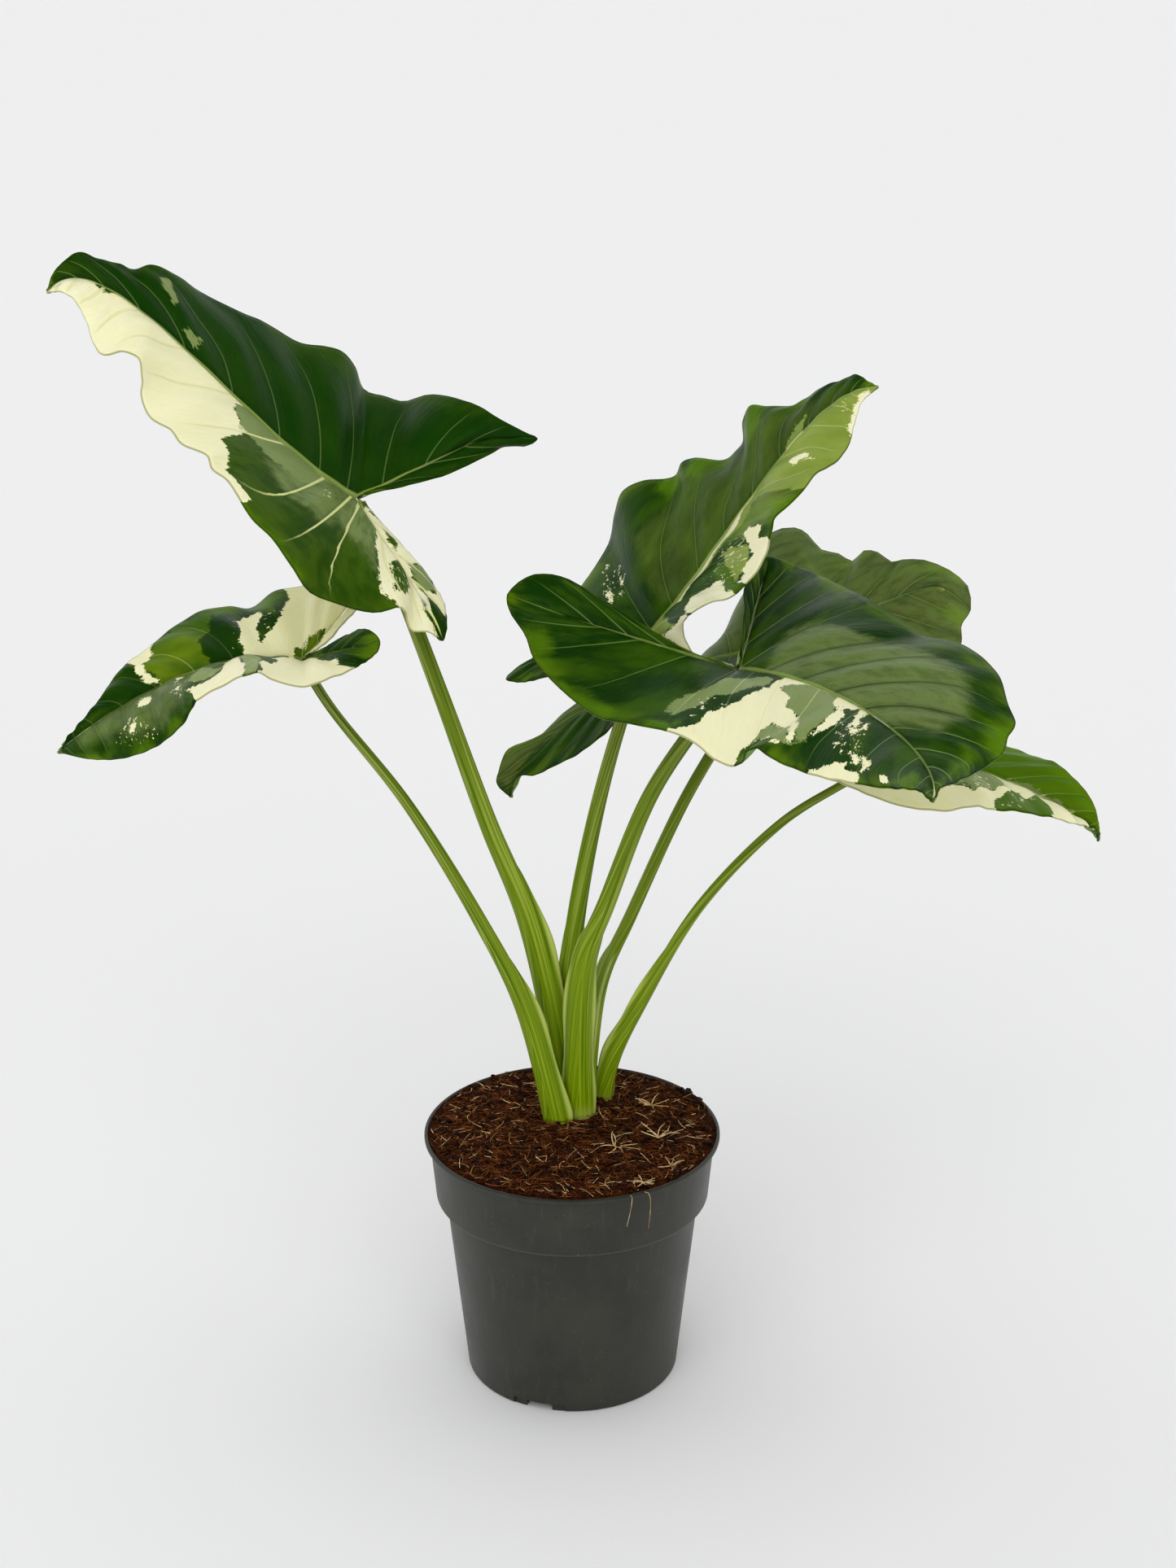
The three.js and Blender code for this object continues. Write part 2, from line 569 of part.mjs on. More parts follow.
const mixProfile = [
  [0, POT_FLOOR + GAP],
  [bodyInner(POT_FLOOR) - GAP, POT_FLOOR + GAP],
  [bodyInner(SHELF_Z) - GAP, SHELF_Z + GAP],
  [bandInner(SHELF_Z) - GAP, SHELF_Z + GAP],
];
for (let i = 0; i <= MIX_RINGS; i += 1) {
  const share = 1 - i / MIX_RINGS;
  const edge = bandInner(MIX_EDGE_Z) - GAP - 0.2;
  mixProfile.push([share * edge, THREE.MathUtils.lerp(MIX_CROWN_Z, MIX_EDGE_Z, share ** 2)]);
}
const mixShell = turned(mixProfile);
mixShell.deleteAttribute('normal');
mixShell.deleteAttribute('uv');
const mixSurface = mergeVertices(mixShell, 1e-4);
const mixPoints = mixSurface.attributes.position;
for (let i = 0; i < mixPoints.count; i += 1) {
  const z = mixPoints.getZ(i);
  if (z > MIX_EDGE_Z - 1) mixPoints.setZ(i, z + MIX_ROUGHNESS * noise(i));
}
const mixSolid = cutAll(solidOf(mixSurface), [...stalkRooms, cormSolid(GAP)]);
add('potting_mix', largestBody(mixSolid), mixBrown);

export default object;
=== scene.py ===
# %% [markdown]
# # A potted variegated giant taro
#
# Six arrow-shaped blades on long stalks grow from one buried corm in a dark nursery pot. The packed
# model already fixes where everything is, in metres, with the middle of the pot's underside at zero.
# Here the smooth forms and the finishes are made: pleated leaf skin with veins and cream sectors,
# ribbed stalks with pale sheaths, scuffed plastic, and red-brown coir with straw in it.

# %% Load the imported model
import math
from contextlib import contextmanager
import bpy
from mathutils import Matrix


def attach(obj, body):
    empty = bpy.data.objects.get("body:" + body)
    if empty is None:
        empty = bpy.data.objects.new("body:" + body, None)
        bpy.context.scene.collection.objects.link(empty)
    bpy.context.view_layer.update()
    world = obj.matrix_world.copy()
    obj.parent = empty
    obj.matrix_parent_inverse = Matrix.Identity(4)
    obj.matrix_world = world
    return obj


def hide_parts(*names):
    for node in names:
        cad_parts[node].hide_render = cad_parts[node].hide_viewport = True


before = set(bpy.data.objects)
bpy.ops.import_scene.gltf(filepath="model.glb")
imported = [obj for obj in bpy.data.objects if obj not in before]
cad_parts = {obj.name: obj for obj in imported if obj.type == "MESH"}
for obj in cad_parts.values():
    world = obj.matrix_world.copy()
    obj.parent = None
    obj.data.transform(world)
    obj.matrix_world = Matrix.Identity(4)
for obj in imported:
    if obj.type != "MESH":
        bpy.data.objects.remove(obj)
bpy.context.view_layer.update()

from types import SimpleNamespace

import bpy
import numpy as np
from mathutils import Vector, noise

MM = 0.001

# %% [markdown]
# ## The view
#
# The photograph looks slightly down at the plant from about a metre and a half. The pot's lip, band
# and foot show as three ellipses, and their flatness gives the camera's height and tilt. A normal lens
# on a full-size sensor keeps the leaves in the same perspective.

# %% Put the camera at the photograph's angle
CAMERA_AT = (0.0102, -1.363, 0.867)
CAMERA_TILT = 71.11
LENS, SENSOR_WIDTH = 54.07, 36
FARTHEST_SEEN = 1000

bpy.ops.object.camera_add(location=CAMERA_AT, rotation=(math.radians(CAMERA_TILT), 0, 0))
camera = bpy.context.object
camera.name = "studio_camera"
camera.data.lens = LENS
camera.data.sensor_width = SENSOR_WIDTH
camera.data.clip_end = FARTHEST_SEEN
bpy.context.scene.camera = camera
bpy.context.scene.view_settings.view_transform = "Standard"
bpy.context.scene.view_settings.look = "Medium High Contrast"
print("camera", CAMERA_AT, "tilted", CAMERA_TILT, "degrees, lens", LENS)

# %% [markdown]
# ## Ways to mix a finish
#
# Every finish below is grown from shader nodes, so that it works from all sides and at any size. They
# could be added one by one with their links, but that takes a page for each finish. A Principled shader
# does the light; noise, steps and blends give it colour, gloss and relief. This small helper keeps the
# recipes short: each call adds one node and hands back its output.

# %% A helper that adds shader nodes in plain words
SPREAD_SHARE = 0.6
SPREAD_COLOUR = (1, 0.9, 0.5)


def paint(red, green, blue):
    """A colour as seen in a picture, 0 to 255, as the linear light that a shader takes."""
    light = [c / 3294.6 if c < 10.3 else ((c / 255 + 0.055) / 1.055) ** 2.4 for c in (red, green, blue)]
    return (*light, 1)


class Nodes:
    """Short ways to add nodes to the tree of a finish or of the room."""

    def __init__(self, tree):
        self.tree = tree

    def join(self, value, socket):
        """Feeds a socket with a fixed value or with another node's output."""
        if isinstance(value, bpy.types.NodeSocket):
            self.tree.links.new(value, socket)
        else:
            socket.default_value = value

    def node(self, kind, settings, *values):
        """Any node by its kind, with its settings and its inputs in order."""
        made = self.tree.nodes.new("ShaderNode" + kind)
        for name, value in settings.items():
            setattr(made, name, value)
        for value, socket in zip(values, made.inputs):
            if value is not None:
                self.join(value, socket)
        return made.outputs

    def calc(self, operation, *values):
        """One step of arithmetic."""
        return self.node("Math", {"operation": operation}, *values)[0]

    def times(self, one, other):
        """The product of two values."""
        return self.calc("MULTIPLY", one, other)

    def step(self, value, start, end, low=0, high=1):
        """A smooth climb or fall, from low at the start to high at the end."""
        return self.node("MapRange", {"interpolation_type": "SMOOTHSTEP"}, value, start, end, low, high)[0]

    def blend(self, share, below, above):
        """Two colours mixed: all below at a share of 0, all above at 1."""
        made = self.tree.nodes.new("ShaderNodeMix")
        made.data_type = "RGBA"
        for value, socket in zip((share, below, above), (made.inputs[0], made.inputs[6], made.inputs[7])):
            self.join(value, socket)
        return made.outputs[2]

    def noise(self, place, scale, detail=3, roughness=0.55):
        """Cloudy noise round 0.5, with about as many lumps to one unit as its scale."""
        made = self.tree.nodes.new("ShaderNodeTexNoise")
        for value, name in zip((place, scale, detail, roughness), ("Vector", "Scale", "Detail", "Roughness")):
            self.join(value, made.inputs[name])
        return made.outputs[0]

    def stretch(self, place, x, y, z=1):
        """A place whose pattern is drawn out along each axis that has a number below 1."""
        return self.node("VectorMath", {"operation": "MULTIPLY"}, place, (x, y, z))[0]

    def place(self):
        """The point's own place on the object, in metres."""
        return self.tree.nodes.new("ShaderNodeTexCoord").outputs["Object"]

    def attribute(self, name):
        """Three numbers that the mesh stores under a name."""
        made = self.tree.nodes.new("ShaderNodeAttribute")
        made.attribute_name = name
        return made.outputs["Vector"]

    def parts(self, vector):
        """The three numbers of a vector."""
        return self.node("SeparateXYZ", {}, vector)

    def bump(self, height, deep, strength=1.0, below=None):
        """Fine relief, at most so many metres deep, on top of the relief below it."""
        made = self.tree.nodes.new("ShaderNodeBump")
        made.inputs["Strength"].default_value = strength
        made.inputs["Distance"].default_value = deep
        self.join(height, made.inputs["Height"])
        if below is not None:
            self.join(below, made.inputs["Normal"])
        return made.outputs[0]


class Finish(Nodes):
    """A new material whose nodes feed its Principled shader."""

    def __init__(self, name):
        self.material = bpy.data.materials.new(name)
        self.material.use_nodes = True
        super().__init__(self.material.node_tree)
        self.shader = self.tree.nodes["Principled BSDF"]

    def done(self, colour, roughness, normal=None, gloss=0.5, depth=0.0):
        """Feeds the shader; depth is how far, in metres, light spreads inside the stuff."""
        self.join(colour, self.shader.inputs["Base Color"])
        if depth:
            self.shader.inputs["Subsurface Weight"].default_value = SPREAD_SHARE
            self.shader.inputs["Subsurface Radius"].default_value = SPREAD_COLOUR
            self.shader.inputs["Subsurface Scale"].default_value = depth
        self.join(roughness, self.shader.inputs["Roughness"])
        self.shader.inputs["Specular IOR Level"].default_value = gloss
        if normal is not None:
            self.join(normal, self.shader.inputs["Normal"])
        return self.material


print("the mid grey of a picture is", round(paint(128, 128, 128)[0], 3), "of full light")


# %% Helpers that select, edit, move and install a piece
def only(piece):
    """Selects one piece alone, because an operator acts on all that is selected."""
    bpy.ops.object.select_all(action="DESELECT")
    piece.select_set(True)
    bpy.context.view_layer.objects.active = piece


@contextmanager
def edit_mode(piece):
    """Edit mode with all of one piece selected, and object mode again afterwards."""
    only(piece)
    bpy.ops.object.mode_set(mode="EDIT")
    bpy.ops.mesh.select_all(action="SELECT")
    yield
    bpy.ops.object.mode_set(mode="OBJECT")


def move_points(piece, places):
    """Puts each point of a piece at its place, given in millimetres."""
    piece.data.vertices.foreach_set("co", (places * MM).ravel())


def install(piece, material, replaced):
    """Gives a finished piece its finish and its place in the model."""
    if material:
        piece.data.materials.clear()
        piece.data.materials.append(material)
    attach(piece, "root")
    if replaced:
        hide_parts(replaced)
    print(piece.name, "has", sum(len(face.vertices) - 2 for face in piece.data.polygons), "triangles")


# %% [markdown]
# ## Studio
#
# The plant stands on a pale seamless floor before a pale wall, under a wide soft light from above and
# the front left. The room behind the camera is dim, so skin that faces it keeps its deep colour, while
# skin seen at a flat angle mirrors the wall and turns silvery. A real wall could be built, but a glow
# that changes smoothly with the direction does the same from every side.

# %% Lay the floor
FLOOR_SIZE = 400
FLOOR_Z = -0.0003

bpy.ops.object.select_all(action="DESELECT")
bpy.ops.mesh.primitive_plane_add(size=FLOOR_SIZE, location=(0, 0, FLOOR_Z))
floor = bpy.context.object
floor.name = "studio_floor"
matte = Finish("pale_floor_paper")
tooth = matte.noise(matte.place(), 900, 2)
tone = matte.blend(tooth, paint(239, 239, 240), paint(243, 243, 244))
floor.data.materials.append(matte.done(tone, 0.9, matte.bump(tooth, 0.0001, 0.2), 0.1))
print("floor", FLOOR_SIZE, "m wide")

# %% Let the room glow
WALL_GLOW, ROOM_GLOW, CEILING_GLOW, HORIZON_GLOW = 0.85, 0.12, 0.24, 0.72

world = bpy.data.worlds.new("soft_studio")
world.use_nodes = True
room = Nodes(world.node_tree)
direction = room.tree.nodes.new("ShaderNodeTexCoord").outputs["Generated"]
_, backwards, upwards = room.parts(direction)
wall_or_room = room.step(backwards, -0.5, 0.4, ROOM_GLOW, WALL_GLOW)
above_horizon = room.step(upwards, 0.02, 0.3, HORIZON_GLOW, wall_or_room)
glow = room.step(upwards, 0.45, 0.95, above_horizon, CEILING_GLOW)
background = room.tree.nodes["Background"]
background.inputs["Color"].default_value = (1, 1, 1, 1)
room.join(glow, background.inputs["Strength"])
bpy.context.scene.world = world
print("glow of the wall", WALL_GLOW, "room", ROOM_GLOW, "ceiling", CEILING_GLOW, "horizon", HORIZON_GLOW)

# %% Hang the lamps
LAMPS = [  # name, strength, tilt and turn in degrees, spread in degrees
    ("key_light", 0.73, 60, -20, 80),
    ("fill_light", 1.15, 88, 10, 100),
    ("top_light", 0.83, 8, 0, 120),
]

for name, strength, tilt, turn, spread in LAMPS:
    bpy.ops.object.light_add(type="SUN", rotation=(math.radians(tilt), math.radians(turn), 0))
    lamp = bpy.context.object
    lamp.name = name
    lamp.data.energy = strength
    lamp.data.angle = math.radians(spread)
    lamp.visible_glossy = False
print("lamps:", ", ".join(lamp[0] for lamp in LAMPS))

# %% [markdown]
# ## The leaves' measurements
#
# Every length is in millimetres, and the points are the ones that the solids were lofted from. Each
# blade has a curved main rib from the sinus, where the stalk joins, to the tip, and on either side a
# margin: the open notch, the rounded back lobe and the waved outer edge. A lobe has a rib of its own.
# A stalk is the path of its middle, with its half width at the foot (base) and at the top, and the
# direction that its rounded back faces. The margins could be traced as dense lines, but a point at
# each turn is enough, because a smooth curve will pass through them all. The points weren't worked out
# here: their places were picked in the picture, and a fit found their depth and gave nearly all of
# them in whole millimetres.

# %% The six leaves
LEAVES = {
    "low_left": {
        "rib": [(-162, 3, 478), (-215, -32, 505), (-299, -75, 446), (-295, -73, 445)],
        "left": {
            "notch": [(-151, 7, 484), (-135, 3, 494), (-122, -8, 501)],
            "lobe": [(-113, -18, 497), (-114, -21, 491), (-125, -28, 484), (-138, -48, 483),
                (-152, -70, 484)],
            "edge": [(-169, -79, 491), (-176, -83, 496), (-184, -87, 495), (-195, -92, 491),
                (-208, -98, 485), (-212, -99, 480), (-219, -100, 469), (-229, -99, 460),
                (-242, -96, 452), (-260, -90, 446), (-278, -82, 444)],
            "lobe_rib": (-124, -16, 493),
        },
        "right": {
            "notch": [(-152, 9, 484), (-144, 19, 490), (-133, 41, 499), (-124, 59, 502)],
            "lobe": [(-120, 67, 507), (-127, 72, 515), (-140, 74, 518), (-154, 75, 514), (-167, 65, 509)],
            "edge": [(-184, 55, 508), (-197, 43, 501), (-210, 33, 504), (-225, 20, 504), (-240, 3, 498),
                (-252, -15, 490), (-262, -27, 485), (-270, -40, 476), (-275, -50, 469),
                (-281, -58, 462), (-288, -67, 453)],
            "lobe_rib": (-131, 61, 506),
        },
        "stalk": [(-9, 10, 154), (-12, 11, 172), (-31, 14, 246), (-58, 12, 306), (-102, 8, 386),
            (-146, 5, 448), (-162, 3, 477)],
        "base": 10.5,
        "top": 3,
        "faces": (-0.5, -0.87),
    },
    "high_left": {
        "rib": [(-131, 54, 567), (-190, 35, 604), (-268, 16, 738), (-300, 5, 696)],
        "left": {
            "notch": [(-110, 49, 546), (-90, 38, 526), (-76, 22, 506)],
            "lobe": [(-77, 8, 489), (-85, 2, 496), (-95, -2, 498), (-100, -8, 514), (-116, -13, 512),
                (-135, -17, 518), (-153, -23, 528), (-163, -28, 546)],
            "edge": [(-172, -30, 561), (-183, -32, 573), (-196, -32, 595), (-204, -32, 602),
                (-207, -31, 609), (-222, -29, 616), (-228, -28, 624), (-240, -25, 631),
                (-244, -23, 643), (-243, -21, 652), (-245, -19, 663), (-255, -17, 666),
                (-266, -15, 664), (-271, -13, 669), (-276, -7, 682), (-283, -2, 693), (-291, 2, 697)],
            "lobe_rib": (-87, 8, 512),
        },
        "right": {
            "notch": [(-110, 54, 572), (-91, 59, 576), (-74, 70, 579), (-53, 86, 586), (-38, 93, 592),
                (-29, 93, 591)],
            "lobe": [(-21, 91, 596), (-31, 88, 602), (-46, 84, 611), (-56, 86, 617), (-72, 95, 621),
                (-88, 108, 621), (-106, 119, 615), (-119, 122, 618), (-131, 121, 622)],
            "edge": [(-136, 117, 637), (-143, 112, 647), (-153, 108, 651), (-167, 101, 654),
                (-181, 93, 664), (-192, 86, 671), (-203, 79, 677), (-224, 63, 692), (-234, 54, 701),
                (-247, 44, 708), (-255, 38, 706), (-263, 31, 710), (-273, 23, 714), (-283, 17, 718),
                (-291, 12, 713), (-297, 8, 706)],
            "lobe_rib": (-45, 88, 602),
        },
        "stalk": [(-4, 38, 155), (-10, 33, 212), (-28, 34, 297), (-53, 36, 363), (-82, 42, 447),
            (-112, 49, 528), (-130, 54, 563)],
        "base": 11.5,
        "top": 4.6,
        "faces": (-0.5, -0.87),
    },
    "upright": {
        "rib": [(50, 54, 482), (91, 36, 534), (140, 25, 646), (181, 19, 640)],
        "left": {
            "notch": [(29, 54, 466), (6, 59, 454), (-17, 71, 448), (-33, 83, 441)],
            "lobe": [(-43, 91, 441), (-26, 106, 451), (-12, 117, 466), (-2, 124, 480), (7, 127, 495),
                (23, 123, 522)],
            "edge": [(27, 116, 544), (32, 111, 559), (45, 105, 567), (59, 101, 569), (65, 99, 572),
                (69, 95, 581), (76, 93, 584), (94, 85, 584), (101, 81, 590), (105, 78, 597),
                (105, 71, 612), (109, 67, 621), (119, 61, 622), (134, 52, 624), (142, 47, 630),
                (150, 41, 637), (159, 36, 641), (168, 29, 646), (175, 24, 643)],
            "lobe_rib": (-21, 94, 454),
        },
        "right": {
            "notch": [(60, 57, 467), (74, 61, 450), (85, 64, 441)],
            "lobe": [(95, 63, 437), (93, 56, 446), (84, 43, 461), (71, 18, 482), (67, -1, 502),
                (70, -9, 510)],
            "edge": [(83, -17, 520), (92, -21, 523), (100, -25, 530), (108, -28, 541), (113, -28, 551),
                (116, -25, 562), (118, -22, 571), (133, -14, 583), (144, -7, 595), (155, -3, 600),
                (163, 3, 610), (166, 9, 619), (171, 15, 632)],
            "lobe_rib": (84, 57, 451),
        },
        "stalk": [(3, 42, 155), (-2, 40, 221), (1, 38, 284), (14, 41, 361), (30, 46, 423), (49, 53, 478)],
        "base": 9,
        "top": 4.2,
        "faces": (0, 1),
    },
    "front": {
        "rib": [(100, -8, 476), (149, -79, 495), (208, -150, 469), (187, -220, 466)],
        "left": {
            "notch": [(103, 13, 490), (106, 36, 501), (107, 57, 510), (113, 71, 517)],
            "lobe": [(123, 83, 523), (146, 86, 515), (162, 60, 513), (173, 33, 513), (182, 7, 513)],
            "edge": [(192, -9, 510), (199, -21, 507), (204, -32, 504), (214, -50, 506), (225, -71, 508),
                (234, -96, 505), (238, -114, 501), (239, -135, 493), (241, -150, 486), (236, -158, 482),
                (232, -168, 476), (221, -179, 472), (205, -196, 470), (193, -208, 470)],
            "lobe_rib": (120, 74, 511),
        },
        "right": {
            "notch": [(82, -2, 481), (70, 2, 485), (43, 14, 498), (23, 23, 508), (8, 28, 517),
                (-9, 32, 524), (-26, 33, 523)],
            "lobe": [(-39, 31, 512), (-38, 28, 503), (-28, 20, 489), (-23, 12, 477), (-11, -5, 467),
                (4, -26, 460), (16, -43, 457), (33, -62, 459), (51, -82, 462)],
            "edge": [(64, -97, 462), (72, -107, 460), (81, -117, 455), (89, -125, 454), (94, -129, 457),
                (97, -135, 466), (102, -139, 469), (110, -147, 466), (122, -160, 464), (136, -174, 464),
                (150, -186, 465), (169, -203, 468), (181, -212, 470)],
            "lobe_rib": (-5, 19, 502),
        },
        "stalk": [(5, 16, 154), (4, 15, 208), (8, 12, 278), (22, 9, 319), (49, 1, 394), (79, -4, 444),
            (98, -8, 472)],
        "base": 8.5,
        "top": 4.6,
        "faces": (0, -1),
    },
    "back": {
        "rib": [(126, 129, 449), (53, 118, 446), (-24, 108, 410), (-41, 105, 355)],
        "left": {
            "notch": [(148, 127, 446), (180, 126, 441), (207, 124, 436)],
            "lobe": [(225, 118, 433), (213, 110, 427), (184, 89, 426), (157, 71, 428), (127, 60, 425)],
            "edge": [(102, 59, 423), (76, 62, 424), (50, 65, 424), (28, 69, 418), (18, 72, 408),
                (5, 77, 396), (-10, 85, 385), (-25, 93, 375), (-36, 99, 372), (-40, 102, 364)],
            "lobe_rib": (205, 109, 434),
        },
        "right": {
            "notch": [(170, 139, 448), (209, 145, 443), (242, 147, 442), (258, 150, 447),
                (259, 154, 460)],
            "lobe": [(265, 158, 469), (263, 164, 484), (251, 168, 494), (234, 171, 500),
                (220, 173, 500), (213, 174, 498), (204, 178, 504), (195, 181, 504), (188, 185, 496),
                (179, 189, 500), (168, 194, 502), (159, 200, 511), (150, 203, 515), (134, 207, 510)],
            "edge": [(127, 207, 490), (120, 203, 466), (117, 195, 439), (107, 186, 415), (81, 176, 408),
                (53, 162, 411), (25, 147, 414), (3, 135, 411), (-13, 125, 401), (-23, 120, 392),
                (-34, 115, 390), (-43, 112, 386), (-49, 108, 372), (-50, 107, 364)],
            "lobe_rib": (241, 160, 488),
        },
        "stalk": [(10, 36, 155), (12, 44, 200), (20, 60, 246), (38, 73, 284), (73, 97, 355),
            (108, 117, 412), (125, 129, 445)],
        "base": 8.5,
        "top": 3.8,
        "faces": (0.9, 0.43),
    },
    "low_right": {
        "rib": [(185, 37, 398), (230, 8, 436), (329, -41, 382), (317, -33, 375)],
        "left": {
            "notch": [(180, 53, 398), (176, 76, 394)],
            "lobe": [(176, 96, 396), (186, 97, 401), (202, 94, 405), (218, 82, 411)],
            "edge": [(237, 70, 415), (255, 53, 415), (271, 35, 414), (284, 19, 413), (296, 4, 413),
                (306, -10, 407), (314, -23, 398), (317, -30, 388)],
            "lobe_rib": (183, 89, 396),
        },
        "right": {
            "notch": [(174, 31, 400), (161, 24, 406)],
            "lobe": [(149, 15, 411), (151, 9, 408), (154, 2, 406), (164, -8, 404), (181, -28, 403)],
            "edge": [(194, -36, 400), (207, -44, 400), (222, -49, 401), (238, -53, 405),
                (248, -55, 404), (264, -56, 403), (282, -54, 399), (299, -47, 392), (311, -41, 387)],
            "lobe_rib": (160, 12, 408),
        },
        "stalk": [(19, 42, 155), (26, 43, 193), (46, 46, 236), (82, 47, 301), (133, 43, 360),
            (167, 39, 385), (183, 37, 395)],
        "base": 6.8,
        "top": 2.6,
        "faces": (0.55, -0.83),
    },
}
print("leaves:", ", ".join(LEAVES))

# %% [markdown]
# ## A blade as two sheets
#
# A leaf half could be pushed into shape by hand, but its margin waves in three directions. It is
# simpler to think of it as a flat grid laid between two curves: stations run round the half from the
# sinus (0) by the lobe's end (4) and the shoulder (8) to the tip (14), and rows run from rib to margin.
# A curve with centripetal spacing passes through every margin point without loops.

# %% Curves for the rib and the margin
LOBE_END, SHOULDER, TIP = 4, 8, 14
BULGE = 0.05
NEARBY = 0.1


def curve_through(points, index):
    """A smooth curve through all points, read at fractional point numbers."""
    points = np.asarray(points, float)
    padded = np.vstack([2 * points[0] - points[1], points, 2 * points[-1] - points[-2]])
    index = np.clip(index, 0, len(points) - 1 - 1e-9)
    start = np.floor(index).astype(int)
    t = (index - start)[:, None]
    p0, p1, p2, p3 = (padded[start + k] for k in range(4))
    gaps = [np.linalg.norm(b - a, axis=1)[:, None] ** 0.5 for a, b in ((p0, p1), (p1, p2), (p2, p3))]
    leave = (p1 - p0) / gaps[0] - (p2 - p0) / (gaps[0] + gaps[1]) + (p2 - p1) / gaps[1]
    arrive = (p2 - p1) / gaps[1] - (p3 - p1) / (gaps[1] + gaps[2]) + (p3 - p2) / gaps[2]
    leave, arrive = leave * gaps[1], arrive * gaps[1]
    step = p2 - p1
    return p1 + leave * t + (3 * step - 2 * leave - arrive) * t**2 + (leave + arrive - 2 * step) * t**3


def rib_curve(points, t):
    """The main rib, a curve that starts at its first point, ends at its last and is drawn by two more."""
    a, b, c, d = np.asarray(points, float)
    t = t[:, None]
    return a * (1 - t) ** 3 + 3 * b * t * (1 - t) ** 2 + 3 * c * t**2 * (1 - t) + d * t**3


def margin_at(leaf, half, stations):
    """The margin, from the sinus by the lobe's end and the shoulder to the tip."""
    points = [leaf["rib"][0], *half["notch"], *half["lobe"], *half["edge"], leaf["rib"][3]]
    lobe_end = len(half["notch"]) + 1
    shoulder = len(half["notch"]) + len(half["lobe"])
    marks = [0, LOBE_END, SHOULDER, TIP]
    return curve_through(points, np.interp(stations, marks, [0, lobe_end, shoulder, len(points) - 1]))


def rib_at(leaf, half, stations):
    """The main rib beyond the shoulder; before it, out along the lobe's rib and back."""
    lobe = np.asarray(half["lobe_rib"], float) - np.asarray(leaf["rib"][0], float)
    share = np.interp(stations, [0, LOBE_END, SHOULDER], [0, 1, 0])
    beyond = np.clip((stations - SHOULDER) / (TIP - SHOULDER), 0, 1)
    return rib_curve(leaf["rib"], beyond) + lobe * share[:, None]


def skin(leaf, side, stations, rows):
    """Points of the upper skin, its upward direction and its width at each station."""
    half = leaf[side]
    rib, margin = rib_at(leaf, half, stations), margin_at(leaf, half, stations)
    before, after = np.maximum(stations - NEARBY, 0), np.minimum(stations + NEARBY, TIP)
    along = sum(curve(leaf, half, after) - curve(leaf, half, before) for curve in (rib_at, margin_at))
    across = margin - rib
    up = np.cross(across, along) * (1 if side == "right" else -1)
    up = up / np.maximum(np.linalg.norm(up, axis=1), 1e-6)[:, None]
    width = np.linalg.norm(across, axis=1)
    arch = (BULGE * width)[:, None] * np.sin(np.pi * rows)
    return rib[:, None] + across[:, None] * rows[None, :, None] + up[:, None] * arch[..., None], up, width


points, _, width = skin(LEAVES["high_left"], "right", np.linspace(0, TIP, 29), np.linspace(0, 1, 5))
print("the high left leaf's far half is up to", round(width.max()), "mm wide")

# %% [markdown]
# ## Veins
#
# Side veins leave the rib, run outwards and bend towards the tip. They could be drawn as curves, but
# the pleats, the sectors and the finish all follow them, so every point of the skin has to know where
# it lies between two veins. Lines of one phase follow the veins: the phase equals the station at the
# rib and falls behind it towards the margin. Counting the veins along the phase gives each point a
# vein number, whole on a vein and half between two.

# %% Where the side veins run
LEAN = (
    [0, 2, 4, 6, 8, 9, 10, 11, 12, 13, 14],
    [-0.6, -0.8, 0, 0.8, 0, -0.8, -1.15, -1.3, -1.3, -1, 0],
)
VEIN_BEND = 1.1
VEINS = [0.7, 1.6, 2.5, 3.3, 4, 4.9, 5.9, 7, 8, 8.6, 9.3, 10, 10.7, 11.4, 12.1, 12.7, 13.2, 13.6]
VEINS_OF = {
    ("front", "right"): [0.7, 1.6, 2.5, 3.3, 4, 4.9, 5.8, 6.9, 8, 8.4, 9, 9.75, 10.7, 11.6, 12.4, 13, 13.5],
    ("high_left", "left"): [0.8, 2, 3, 4, 5, (6.5, 6.1), (7.85, 7.42), (8.08, 8.06), (8.6, 8.23), 9.3, 10.2,
                            11, 11.8, 12.5, 13.1, 13.6],
    ("high_left", "right"): [0.8, 2, 3, 4, 5, 6.1, 7.3, 8.2, 8.7, 9.4, 10.2, 11, 11.8, 12.5, 13.1],
}


def phase_at(stations, rows):
    """The station at which a point's vein leaves the rib."""
    return stations + np.interp(stations, *LEAN) * rows**VEIN_BEND


def vein_number(name, side, phase, rows):
    """Whole on a vein; a vein given as a pair has one phase at the rib and another at the margin."""
    veins = [vein if isinstance(vein, tuple) else (vein, vein) for vein in VEINS_OF.get((name, side), VEINS)]
    numbers = [0.5, *range(1, len(veins) + 1), len(veins) + 0.5]
    count = np.empty(phase.shape)
    for k, row in enumerate(rows[0]):
        marks = [0, *(at_rib + (at_margin - at_rib) * row for at_rib, at_margin in veins), TIP]
        count[:, k] = np.interp(phase[:, k], marks, numbers)
    return count


print("a blade half has", len(VEINS), "side veins, counted round the half")
